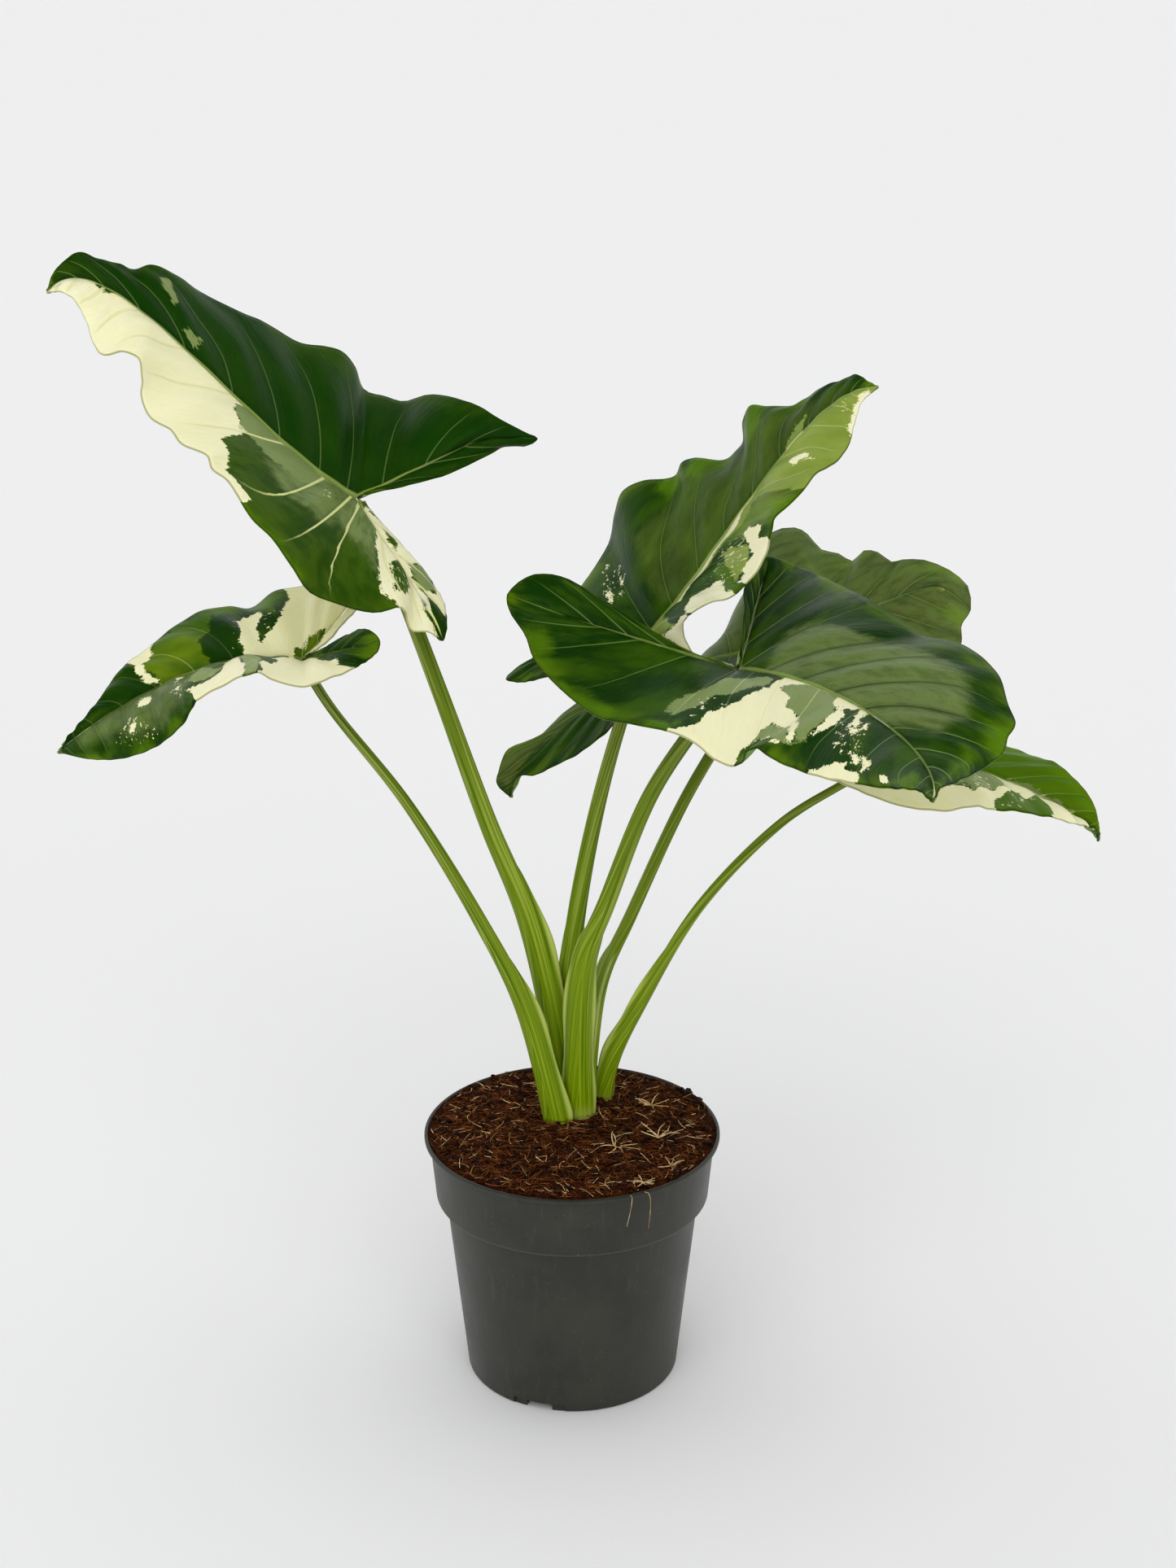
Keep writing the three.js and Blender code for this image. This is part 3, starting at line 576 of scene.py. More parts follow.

# %% [markdown]
# ## Cream, pale and dark sectors
#
# Variegation is a patchwork of cells from different parents: cream tissue has no green at all, pale
# tissue has a little, and the sectors follow the veins with sharp, toothed borders. Of the green
# tissue, soft areas are greyer with a painted sheen, dark ones deeper and fresh ones yellower, one
# fresh patch being painted light, and flecked areas are sprayed with small cream spots. A splash is
# one cream spot, drawn small and then widened. A picture could be
# painted on the leaf, but it would blur close up. So each sector is a few points of (phase, row), every
# point of the skin gets its distance to the nearest border in millimetres, positive inside, and the
# finish adds the teeth later. The borders were picked by eye in the picture, and for most of their
# points a separate script, which isn't handed in, read off the phase and the row.

# %% Sectors of each blade half
WHOLE_HALF = [(0, -0.1), (0, 1.3), (13, 1.3), (14, -0.1)]
SECTORS = {
    ("high_left", "left"): {
        "cream": [
            [(9.9, -0.1), (10, 0.1), (9.75, 0.24), (9.55, 0.3), (9.4, 0.4), (9.35, 0.36), (9.2, 0.48),
             (9.1, 0.64), (9, 0.72), (8.9, 0.76), (8.7, 0.8), (8.6, 0.84), (8.3, 0.94), (8.2, 0.94),
             (8.1, 1.1), (14, 1.1), (14, -0.1)],
            [(6.9, -0.1), (6.65, 0.36), (6.65, 0.52), (6.75, 0.7), (6.7, 0.84), (6.4, 1.1), (4, 1.1),
             (4, -0.1)],
            [(0.2, -0.1), (0.2, 1.1), (4, 1.1), (4, -0.1)],
        ],
        "green_in_cream": [
            [(0.9, 0.36), (0.85, 0.5), (1.7, 0.24), (1.95, 0.1), (1.5, 0.12)],
            [(6.2, 0.26), (5.65, 0.08), (5.5, 0.36), (6, 0.7), (6.35, 0.7), (6.3, 0.48)],
            [(3.3, 0.2), (2.9, 1.1), (4.4, 1.1), (4.35, 0.6), (3.9, 0.2)],
            [(4.6, 0.36), (3.75, 0.24), (3.85, 0.68), (4.15, 0.7), (4.65, 0.66)],
            [(12.65, 0.04), (12.5, -0.1), (12.1, -0.1), (12.3, 0.05), (12.55, 0.08)],
        ],
        "pale_in_cream": [[(2.2, 0.24), (1.15, 1), (1.95, 0.92), (2.55, 0.74), (3.3, 0.18), (2.85, 0.14)]],
        "pale": [
            [(9.9, -0.1), (10, 0.1), (9.75, 0.24), (9.55, 0.3), (9.4, 0.4), (9.15, 0.4), (8.85, 0.44),
             (8.7, 0.46), (8.55, 0.3), (8.5, -0.1)],
        ],
        "soft": [
            [(8.8, -0.1), (8.7, 0.5), (8.45, 0.58), (8.2, 0.54), (8.05, 0.5), (7.95, 0.4), (7.4, 0.36),
             (7, 0.4), (6.7, 0.5), (6.7, -0.1)],
        ],
        "dark": [[(3.3, 0.2), (2.9, 1.1), (4.4, 1.1), (4.35, 0.6), (3.9, 0.2)]],
        "fresh": [[(8.4, 0.97), (7.8, 0.96), (7.6, 1.1), (8.4, 1.1)]],
        "flecked": [
            [(6.4, 0.2), (4.6, 0.2), (5.15, 0.6), (6.55, 0.78)],
            [(8.5, 0.2), (8.35, 0.04), (8.15, 0.28), (8.25, 0.36)],
        ],
    },
    ("high_left", "right"): {
        "dark": [WHOLE_HALF],
        "pale": [
            [(10.4, 0.8), (10.2, 0.84), (10.6, 0.5), (10.75, 0.44), (10.65, 0.54), (10.6, 0.64)],
            [(10.85, 0.2), (10.7, 0.28), (10.6, 0.24), (10.55, 0.24), (10.7, 0.12), (10.8, 0.1)],
        ],
        "fresh": [
            [(8.4, 1.1), (8.05, 1.1), (8.05, 0.9), (8.25, 0.8), (8.35, 0.88)],
            [(7.4, 1.1), (6.75, 1.1), (6.6, 0.82), (7.15, 0.84)],
        ],
    },
    ("low_left", "right"): {
        "cream": [
            [(8.6, 0.74), (8.35, 0.76), (8.4, 0.6), (8.5, 0.52), (8.6, 0.46), (8.65, 0.32), (8.7, 0.18),
             (8.55, 0.3), (8.45, 0.34), (8.35, 0.4), (8.25, 0.58), (8.15, 0.72), (8.1, 0.8), (8.05, 1.1),
             (0, 1.1), (0, -0.1), (9.15, -0.1), (9.1, 0.08), (9, 0.3), (8.85, 0.44), (8.75, 0.6)],
            [(10.1, 1.1), (9.6, 1.1), (9.65, 0.94), (10, 0.72), (10.15, 0.6), (10.3, 0.58), (10.45, 0.44),
             (10.6, 0.1), (10.7, 0.16), (10.6, 0.42), (10.35, 0.7)],
        ],
        "pale": [
            [(9.65, 0.94), (9.2, 0.96), (8.8, 0.92), (9, 0.76), (9.2, 0.56), (9.5, 0.44), (9.65, 0.26),
             (9.75, -0.1), (10.6, -0.1), (10.45, 0.44), (10.3, 0.58), (10.15, 0.6), (10, 0.72)],
        ],
        "pale_in_cream": [
            [(8.2, -0.1), (8.15, 0.12), (7.6, 0.16), (6.9, 0.14), (6.5, 0.05), (6.6, -0.1)],
            [(0.2, -0.1), (0.2, 0.5), (1.2, 0.35), (1.8, 0.1), (2.2, -0.1)],
        ],
        "dark": [
            [(9, 0.76), (8.65, 0.8), (8.8, 0.56), (9.1, 0.2), (9.15, -0.1), (9.75, -0.1), (9.7, 0.24),
             (9.5, 0.44), (9.2, 0.56)],
            [(11.8, 0.84), (10.85, 1), (10.35, 0.8), (10.5, 0.52), (10.7, 0.04), (11.55, 0.12)],
        ],
        "fresh": [
            [(8.75, 1.1), (8.4, 1.1), (8.55, 0.84), (8.9, 0.8)],
            [(10.8, 0.9), (10.6, 0.8), (11, 0.36), (11.15, 0.52)],
            [(8.25, 0.96), (8.05, 1), (8.2, 0.78), (8.3, 0.58), (8.35, 0.72)],
            [(10.75, 0.55), (11, 0.51), (11.12, 0.61), (10.64, 0.78)],
        ],
        "flecked": [
            [(8.8, 0.8), (8.6, 0.8), (9.15, 0.12), (9.3, 0.14)],
            [(8.35, 0.76), (8.2, 0.7), (8.35, 0.4), (8.45, 0.3), (8.65, 0.36), (8.55, 0.5)],
        ],
    },
    ("low_left", "left"): {
        "cream": [
            [(9.4, 0.25), (8.95, 0.45), (8.65, 0.72), (8.5, 1.1), (9.35, 1.1), (9.45, 0.92), (9.65, 0.76),
             (9.35, 0.76), (9.05, 0.72), (9.15, 0.48)],
            [(8.45, 0.7), (8.25, 0.36), (8.2, -0.1), (7.5, -0.1), (7.2, 0.16), (7.3, 0.34), (6.95, 0.48),
             (6.7, 0.46), (6.9, 0.72), (6.8, 1.1), (8.3, 1.1), (8.2, 0.96)],
        ],
        "splash": [
            [(11.3, 0.52), (11.17, 0.53), (11.12, 0.58), (11.15, 0.63), (11.3, 0.6)],
            [(10.73, 0.26), (10.76, 0.38), (10.94, 0.35), (10.96, 0.31), (10.84, 0.25)],
            [(9.91, 0.51), (9.94, 0.6), (10.01, 0.56), (10, 0.5)],
            [(10.07, 0.2), (10.11, 0.31), (10.19, 0.2)],
        ],
        "green_in_cream": [[(8.65, 0.44), (8.45, 0.5), (8.25, 0.6), (8.3, 0.7), (8.45, 0.64)]],
        "soft": [[(8.8, -0.1), (9, 0.3), (9.4, 0.5), (9.8, 0.8), (10.6, 0.84), (11.2, 0.7), (11.8, 0.5),
                  (12.6, 0.3), (12.8, -0.1)]],
        "pale": [
            [(8.85, 0.2), (8.6, 0.4), (8.35, 0.76), (8.2, 1.1), (8.5, 1.1), (8.6, 0.8), (8.9, 0.44)],
            [(9.7, 0.6), (9.65, 0.34), (9.05, 0.58), (9.15, 0.66), (9.35, 0.72), (9.55, 0.68)],
        ],
        "dark": [[(8.65, 0.44), (8.45, 0.5), (8.25, 0.6), (8.3, 0.7), (8.45, 0.64)]],
        "fresh": [
            [(10.6, 1.1), (10.5, 0.9), (10.2, 0.88), (10, 1.1)],
            [(11.6, 1.1), (11.5, 0.9), (11.35, 0.84), (11, 0.9), (11, 1.1)],
        ],
        "flecked": [
            [(10.3, 0), (9.6, 0.6), (9.6, 0.9), (10.05, 0.8), (10.25, 0.6)],
            [(11, 0.12), (10.7, 0.22), (10.8, 0.46), (11.05, 0.46)],
            [(11.15, 0.28), (10.65, 0.84), (10.8, 1), (11.75, 0.8), (11.95, 0.58)],
            [(9.6, 0.6), (9.15, 0.8), (9.05, 1), (9.6, 0.92)],
        ],
    },
    ("upright", "left"): {
        "soft": [[(8.4, 0.1), (8.3, 0.6), (9, 0.85), (11, 0.7), (13, 0.4), (13, -0.1), (9, -0.1)]],
        "cream": [
            [(7.88, 0.84), (7.85, 0.78), (7.78, 0.78), (7.8, 0.84)],
            [(8, 0.6), (8.05, 0.54), (8, 0.54), (7.9, 0.56), (8, 0.58)],
            [(7.65, 0.62), (7.72, 0.58), (7.6, 0.44), (7.53, 0.48)],
        ],
        "pale": [[(11.35, -0.1), (11.75, 0.1), (11.95, 0.24), (12, -0.1)]],
        "fresh": [
            [(8.3, 0.92), (8.3, 1.1), (8.6, 1.1), (8.7, 0.9), (8.5, 0.82)],
            [(8.9, 0.94), (9.05, 1.1), (9.2, 0.94), (9.25, 0.72), (9, 0.8)],
            [(10.15, 1.1), (10.55, 1.1), (10.8, 0.6), (10.45, 0.62), (10, 0.9)],
        ],
        "flecked": [[(7.9, 0.9), (8.15, 0.54), (7.85, 0.32), (7.45, 0.52), (7.7, 0.86)]],
    },
    ("upright", "right"): {
        "splash": [[(10.9, -0.1), (10.6, 0.1), (10.1, 0.17), (9.7, 0.15), (9.4, 0.12), (9, 0.12), (8.5, 0.13),
                    (8, 0.1), (8, -0.1)]],
        "soft": [[(10.9, 0.28), (10.5, 0.9), (10, 0.95), (9.6, 0.8), (9.5, 0.6), (9.76, 0.26), (10.1, 0.28)]],
        "cream": [
            [(13.65, 0.3), (13.2, 0.5), (12.95, 0.66), (12.55, 0.72), (12.1, 0.8), (11.85, 0.92), (12.1, 1.1),
             (13.7, 1.1)],
            [(11.1, 0.4), (11.2, 0.44), (11.2, 0.52), (11, 0.74), (10.95, 0.76), (11, 0.6), (10.95, 0.52)],
            [(9.65, 0.54), (9.75, 0.58), (9.7, 0.74), (9.55, 0.8), (9.4, 0.8), (9.2, 1.1), (8.95, 1.1),
             (8.4, 1.1), (8.55, 0.88), (8.85, 0.84), (9.05, 0.84), (9.4, 0.64)],
            [(8.65, 0.56), (8.7, 0.6), (8.65, 0.72), (8.5, 0.8), (8.35, 0.84), (8.2, 1.1), (8, 1.1),
             (8.05, 0.74), (8.3, 0.58), (8.55, 0.48)],
            [(8, 0.8), (7.9, 1.1), (6.8, 1.1), (7.05, 0.58), (7.5, 0.36), (7.65, 0.58), (7.8, 0.8)],
        ],
        "pale": [
            [(10.3, -0.1), (10.3, 0.28), (10.4, 0.58), (10.2, 1.1), (14, 1.1), (14, -0.1)],
            [(10.8, 0.43), (10.4, 0.34), (10, 0.3), (9.7, 0.24), (9.4, 0.18), (9, 0.12), (8.4, 0.1),
             (8.2, -0.1), (11, -0.1)],
            [(9.4, 0.34), (9.5, 0.4), (9.4, 0.66), (9.05, 0.8), (8.85, 0.84), (8.55, 0.86), (8.8, 0.74),
             (9.2, 0.44)],
            [(8.25, 0.04), (7.95, 0.68), (7.75, 0.84), (7.65, 0.58), (7.6, 0.34), (7.85, 0.08)],
        ],
        "fresh": [
            [(10.2, 0.16), (10.2, 0.72), (9.95, 1.1), (9.8, 0.76), (9.75, 0.62), (9.6, 0.48), (9.6, 0.32),
             (9.8, 0.08)],
            [(9.15, 0.4), (8.95, 0.66), (8.55, 0.86), (8.4, 1.1), (8.15, 1.1), (8.45, 0.78), (8.65, 0.7),
             (8.8, 0.56)],
        ],
        "flecked": [
            [(12.95, 0), (13.25, 0), (12.6, 0.7), (12.35, 0.32)],
            [(9.8, 0.06), (9.65, 0.58), (8.75, 0.92), (8.55, 0.76), (8.95, 0.46)],
            [(9, 0.28), (9.05, 0.44), (8.55, 0.66), (8.45, 0.56)],
        ],
    },
    ("front", "right"): {
        "splash": [
            [(10.9, 0.29), (10.93, 0.34), (11.04, 0.35), (11.03, 0.3)],
            [(10.68, 0), (10.8, 0), (10.88, 0.16), (11.03, 0.25), (11.12, 0.31), (11.16, 0.4), (11, 0.31),
             (10.9, 0.25), (10.77, 0.14)],
            [(11.09, 0.12), (11.08, 0.2), (11.15, 0.23), (11.12, 0.16)],
            [(11.27, 0.43), (11.35, 0.44), (11.37, 0.5), (11.33, 0.48)],
            [(11.4, 0.56), (11.52, 0.6), (11.53, 0.66), (11.46, 0.62)],
            [(11.58, 0.51), (11.74, 0.5), (11.83, 0.61), (11.83, 0.69), (11.74, 0.7), (11.64, 0.58)],
            [(12.06, 0.75), (12.19, 0.7), (12.16, 0.85), (12.05, 0.9)],
            [(10.97, 0.54), (11.02, 0.54), (11, 0.59)],
        ],
        "cream": [
            [(8.95, 0.1), (8.85, 0.24), (8.65, 0.4), (8.4, 0.6), (8.25, 0.7), (8.2, 0.8), (8.15, 0.86),
             (8.05, 0.96), (7.95, 1.1), (8.75, 1.1), (8.8, 0.92), (8.8, 0.84), (8.9, 0.8), (9.1, 0.72),
             (9.95, 0.88), (10.35, 0.8), (10.35, 0.72), (10.55, 0.58), (10.65, 0.38), (10.6, 0.24),
             (10.45, 0.12), (10.65, 0.08), (10.6, -0.1), (9.1, -0.1)],
            [(10.75, 1.1), (10.75, 0.96), (10.95, 0.9), (11.15, 0.76), (11.35, 0.7), (11.4, 0.78),
             (11.6, 0.76), (11.7, 1.1)],
        ],
        "pale_in_cream": [
            [(9.1, 0.6), (9.3, 0.56), (9.9, 0.62), (10.15, 0.78), (10.35, 0.8), (9.95, 0.86), (9.1, 0.72),
             (8.95, 0.78)],
            [(9.05, 0.16), (9.15, 0.12), (9.45, 0.04), (9.85, -0.1), (10.05, -0.1), (10.25, 0.12),
             (10.45, 0.26), (10.45, 0.4), (10.45, 0.54), (10.45, 0.68), (10.35, 0.8), (10.05, 0.6),
             (9.75, 0.4), (9.4, 0.36), (9.35, 0.24), (9.15, 0.2)],
        ],
        "pale": [
            [(7.9, 0.84), (7.85, 0.72), (7.9, 0.6), (8.05, 0.44), (8.15, 0.28), (8.45, 0.16), (8.9, 0.08),
             (8.85, 0.2), (8.65, 0.32), (8.45, 0.4), (8.2, 0.56), (8.15, 0.68), (8.05, 0.76), (8, 0.84)],
        ],
        "dark": [
            [(8, 0.8), (8.1, 0.72), (8.2, 0.56), (8.4, 0.4), (8.65, 0.32), (8.85, 0.2), (8.75, 0.32),
             (8.6, 0.44), (8.4, 0.6), (8.2, 0.76), (8.05, 0.84)],
            [(10.5, 0.52), (10.65, 0.26), (10.65, 0.1), (11, 0.24), (11.65, 0.92), (11.2, 0.8),
             (10.95, 0.88), (10.6, 0.84), (10.45, 0.68)],
        ],
        "fresh": [
            [(5.2, 1.1), (5.2, 0.72), (5.85, 0.76), (6.1, 0.92), (5.85, 1.1)],
            [(6.8, 1.1), (6.8, 0.94), (7, 0.88), (7.45, 0.9), (7.5, 1.1)],
            [(12.2, 0.84), (13.2, 0.44), (12.75, 0.34)],
            [(7.85, 0.92), (8.05, 0.9), (8, 1.1), (7.8, 1.1)],
        ],
        "flecked": [
            [(10.5, 0.32), (11.05, 0.08), (11.85, 0.6), (11.4, 0.8), (10.95, 0.64)],
            [(8.05, 0.6), (8.6, 0.44), (8.25, 0.72), (8.1, 0.84)],
        ],
    },
    ("front", "left"): {
        "soft": [
            [(7.8, 0.4), (8.3, 0.14), (8.7, -0.1), (11.2, -0.1), (11.5, 0.3), (10.7, 0.62), (9.7, 0.8),
             (8.6, 0.7), (7.9, 0.6)],
        ],
        "fresh": [
            [(10.6, 0.78), (10.55, 0.92), (10.2, 1.1), (11.5, 1.1), (11.4, 0.76)],
            [(11.7, 0.52), (11.8, 0.8), (12.25, 0.68), (12.85, 0.5)],
        ],
    },
    ("back", "right"): {
        "soft": [WHOLE_HALF],
        "fresh": [
            [(3.4, 0.54), (3.75, 0.72), (3.85, 1.1), (2.9, 1.1), (3.1, 0.8)],
            [(7.65, 0.78), (7.25, 0.66), (7.3, 0.6)],
        ],
    },
    ("low_right", "left"): {
        "fresh": [WHOLE_HALF],
        "pale": [[(10.6, -0.1), (10.8, 0.07), (11.4, 0.09), (12.1, 0.08), (12.6, -0.1)]],
    },
    ("low_right", "right"): {
        # This fresh patch is painted light: it lightens a part of the near half that faces away from the
        # lamps.
        "fresh": [[(9.8, 0.8), (10.15, 0.55), (10.6, 0.3), (11.5, 0.25), (11.3, 1.1), (9.8, 1.1)]],
        "cream": [
            [(4.3, 0.1), (4.3, 1.1), (9.8, 1.1), (9.8, 0.96), (9.87, 0.8), (10.24, 0.61), (10.53, 0.4),
             (10.77, 0.34), (10.65, 0.6), (10.85, 0.48), (11.25, 0.16), (11.2, 0.05), (10.95, 0.08),
             (10.5, -0.1), (7, -0.1)],
            [(11.25, 0.14), (11.8, 0.03), (12.6, -0.1), (12.9, 0.74), (12, 1.1), (11.08, 1.1), (11.08, 0.94),
             (11.37, 0.36)],
        ],
        "pale_in_cream": [
            [(8.93, 0.68), (9.28, 0.55), (9.46, 0.56), (9.49, 0.69), (9.73, 0.6), (10.05, 0.55),
             (10.48, 0.36), (10.45, 0.21), (10.38, 0.08), (10.3, -0.1), (10.07, 0.06), (9.5, 0.38)],
        ],
        "pale": [[(10.6, -0.1), (10.9, 0.09), (11.14, 0.04), (11.33, 0.14), (11.54, 0.41), (11.87, 0.39),
                  (12.35, -0.1)]],
        "flecked": [
            [(9.85, 0.9), (10.55, 0.4), (11.15, 0.44), (10.35, 1)],
            [(9, 0.7), (9.3, 0.3), (10.1, 0), (10.3, 0.4), (9.8, 0.7)],
            [(11.5, 0), (12.1, 0), (11.8, 0.2)],
            [(10, 0.12), (10.2, 0.08), (9.75, 0.38)],
        ],
    },
}
KINDS = ("cream", "splash", "pale", "soft", "dark", "fresh", "flecked", "pale_in_cream", "green_in_cream")
print("sectors drawn on", len(SECTORS), "blade halves")

# %% Distance from the skin to a sector's border
FIELD_REACH = 12.0
SPLASH_EXTRA = 0.6
STEPS_ALONG, STEPS_ACROSS = 12, 25
APPROACHES = 40


def station_for(phase, rows):
    """The station whose vein line passes a point, found by stepping towards it."""
    stations = np.array(phase, float)
    for _ in range(APPROACHES):
        stations = stations + 0.5 * (phase - phase_at(np.clip(stations, 0, TIP), rows))
    return np.clip(stations, 0, TIP)


def inside(phase, rows, corners):
    """Whether each point lies in the polygon, by counting the sides to its right."""
    hits = np.zeros(phase.shape, bool)
    for (x1, y1), (x2, y2) in zip(corners, corners[1:] + corners[:1]):
        crosses = (y1 > rows) != (y2 > rows)
        reach = (x2 - x1) * (rows - y1) / (y2 - y1 if y2 != y1 else 1e-9) + x1
        hits ^= crosses & (phase < reach)
    return hits


def sector_field(leaf, side, points, phase, rows, corners):
    """Millimetres to the border, positive inside the sector."""
    border = []
    for start, end in zip(corners, corners[1:] + corners[:1]):
        along, across = abs(end[0] - start[0]) * STEPS_ALONG, abs(end[1] - start[1]) * STEPS_ACROSS
        border.append(np.linspace(start, end, max(2, int(max(along, across))), endpoint=False))
    border = np.vstack(border)
    border = border[((border >= 0) & (border <= [TIP, 1])).all(axis=1)]
    stations = station_for(border[:, 0], border[:, 1])
    edge = np.array([skin(leaf, side, np.array([s]), np.array([r]))[0][0, 0]
                     for s, r in zip(stations, border[:, 1])])
    flat = points.reshape(-1, 3)
    near = np.full(len(flat), FIELD_REACH)
    for spot in edge:
        near = np.minimum(near, np.linalg.norm(flat - spot, axis=1))
    return np.where(inside(phase, rows, corners), 1, -1) * near.reshape(phase.shape)


def tissue_fields(name, side, points, phase, rows):
    """One field for each kind of tissue; green and pale islands are cut out of the cream."""
    fields = {}
    for kind in KINDS:
        field = np.full(phase.shape, -FIELD_REACH)
        for corners in SECTORS.get((name, side), {}).get(kind, []):
            field = np.maximum(field, sector_field(LEAVES[name], side, points, phase, rows, corners))
        fields[kind] = field
    islands = np.maximum(fields["pale_in_cream"], fields["green_in_cream"])
    fields["cream"] = np.maximum(np.minimum(fields["cream"], -islands), fields["splash"] + SPLASH_EXTRA)
    fields["pale"] = np.maximum(fields["pale"], fields["pale_in_cream"])
    return fields


print("borders are felt up to", FIELD_REACH, "mm away")

# %% [markdown]
# ## Relief of the skin
#
# Between two side veins the skin swells a little, the veins lie in shallow valleys and the rib in a
# deeper one, and the margin has a fine ripple of its own. These are real forms that catch the light as
# bands of sheen, so they are moved in the mesh, and the leaf finish adds painted shade and painted sheen
# along them.

# %% Stations, rows and the small forms of the skin
PLEAT, FULL_PLEAT_SPACING = 2.1, 13
RIB_VALLEY, RIB_VALLEY_REACH = 0.8, 1.6
RIPPLE, FINE_WAVE, BROAD_WAVE = 0.5, 11, 4.3
LOBE_STEPS, MAIN_STEPS, ROW_STEPS = 26, 130, 30
STATIONS = np.concatenate([
    np.linspace(0, LOBE_END, LOBE_STEPS, endpoint=False),
    np.linspace(LOBE_END, SHOULDER, LOBE_STEPS, endpoint=False),
    np.linspace(SHOULDER, TIP, MAIN_STEPS + 1),
])
ROWS = np.linspace(0, 1, ROW_STEPS + 1) ** 1.5


def vein_spacing(points, number):
    """Millimetres of skin to one vein number, measured square to the veins."""
    d_s, d_r = np.gradient(points, axis=0), np.gradient(points, axis=1)
    n_s, n_r = np.gradient(number, axis=0), np.gradient(number, axis=1)
    a, b, c = (d_s * d_s).sum(-1), (d_s * d_r).sum(-1), (d_r * d_r).sum(-1)
    slope = (c * n_s**2 - 2 * b * n_s * n_r + a * n_r**2) / np.maximum(a * c - b * b, 1e-9)
    return np.clip(1 / np.sqrt(np.maximum(slope, 1e-6)), 0.5, 60)


def relief(number, spacing, across, rows, phase, seed):
    """Millimetres up: the swell between veins, the rib's valley and the margin's ripple."""
    swell = np.sin(np.pi * number) ** 2 * np.sin(np.pi * rows**0.75) ** 0.8
    swell = swell * PLEAT * np.clip(spacing / FULL_PLEAT_SPACING, 0, 1)
    valley = -RIB_VALLEY * np.exp(-((across / RIB_VALLEY_REACH) ** 2))
    at_margin = np.clip(rows * 4 - 3, 0, 1)
    ripple = RIPPLE * at_margin * np.sin(phase * FINE_WAVE + seed) * np.sin(phase * BROAD_WAVE + 2 * seed)
    return swell + valley + ripple


print(len(STATIONS), "stations by", len(ROWS), "rows on each blade half")

# %% [markdown]
# ## Making a blade
#
# A blade could be cut from one plane, but its veins would then have no rows of faces to follow. So a
# flat grid primitive is added for each half, and each of its points is moved to its station and row on
# the skin. The two halves are joined and welded along the ribs. The Solidify modifier then grows the
# thickness downwards, thin in the blade and thick along the ribs, which gives the keel on the
# underside. What the finish needs to know travels on the face corners, so that it stays right at the
# welded ribs.

# %% What each blade half is like
OLIVE = {  # how olive its pale tissue is; from 1 to 2 it turns to fresh green
    ("upright", "right"): 1.0, ("upright", "left"): 0.5,
    ("low_left", "right"): 2.0, ("low_left", "left"): 0.3,
}
BOLD_VEINS = {  # how boldly its side veins show; from 1.1 up they turn cream
    ("high_left", "left"): 1.7, ("high_left", "right"): 0.6,
    ("low_left", "left"): 0.2, ("low_left", "right"): 0.2,
    ("upright", "left"): 0.5, ("upright", "right"): 0.5,
    ("back", "left"): 0.5, ("back", "right"): 0.75,
    ("front", "left"): 1.0, ("low_right", "right"): 0.5,
}
# The grey of each half's soft areas is a painted sheen; this says how strong it is.
PAINTED_SHEEN = {  # how grey its soft areas are
    ("high_left", "left"): 0.8, ("front", "left"): 0.62, ("low_left", "left"): 0.45,
    ("upright", "left"): 0.2, ("upright", "right"): 0.5, ("back", "right"): 0.45,
}
RIB_SHOWS = {"low_left": 0.3, "back": 0.6, "front": 0.7, "low_right": 0.4}
USUAL_VEINS, USUAL_RIB = 0.8, 0.85
RIB_HALF_WIDTH = (
    [0, LOBE_END, SHOULDER - 0.6, SHOULDER, 11, TIP],
    [1.8, 0.7, 1.6, 2.6, 0.9, 0.35],
)
print(len(BOLD_VEINS), "blade halves have veins of their own kind")

# %% Lay a flat grid on the skin of one half
LOBE_KEEL, KEEL_FADE, KEEL_REACH = 0.45, 0.75, 1.9


def grid_places(grid, columns, rows):
    """Column and row number of each point of a flat grid primitive of size one."""
    flat = np.empty(len(grid.data.vertices) * 3)
    grid.data.vertices.foreach_get("co", flat)
    flat = flat.reshape(-1, 3)
    span = flat.max(0) - flat.min(0)
    share = (flat - flat.min(0)) / np.where(span > 0, span, 1)
    return np.rint(share[:, 0] * (columns - 1)).astype(int), np.rint(share[:, 1] * (rows - 1)).astype(int)


def write_notes(grid, notes, column, row):
    """Stores three numbers on each face corner for every named note."""
    corners = np.empty(len(grid.data.loops), np.int32)
    grid.data.loops.foreach_get("vertex_index", corners)
    for note, values in notes.items():
        at_points = np.stack(np.broadcast_arrays(*values), -1)[column, row]
        layer = grid.data.attributes.new(note, "FLOAT_VECTOR", "CORNER")
        layer.data.foreach_set("vector", at_points[corners].astype(np.float32).ravel())


def keel_share(stations, across):
    """How far the keel stands out: all of it at the stalk, less to the tip and in the lobes."""
    along = np.where(stations < SHOULDER, LOBE_KEEL, 1 - KEEL_FADE * (stations - SHOULDER) / (TIP - SHOULDER))
    return np.exp(-((across / KEEL_REACH) ** 2)) * along


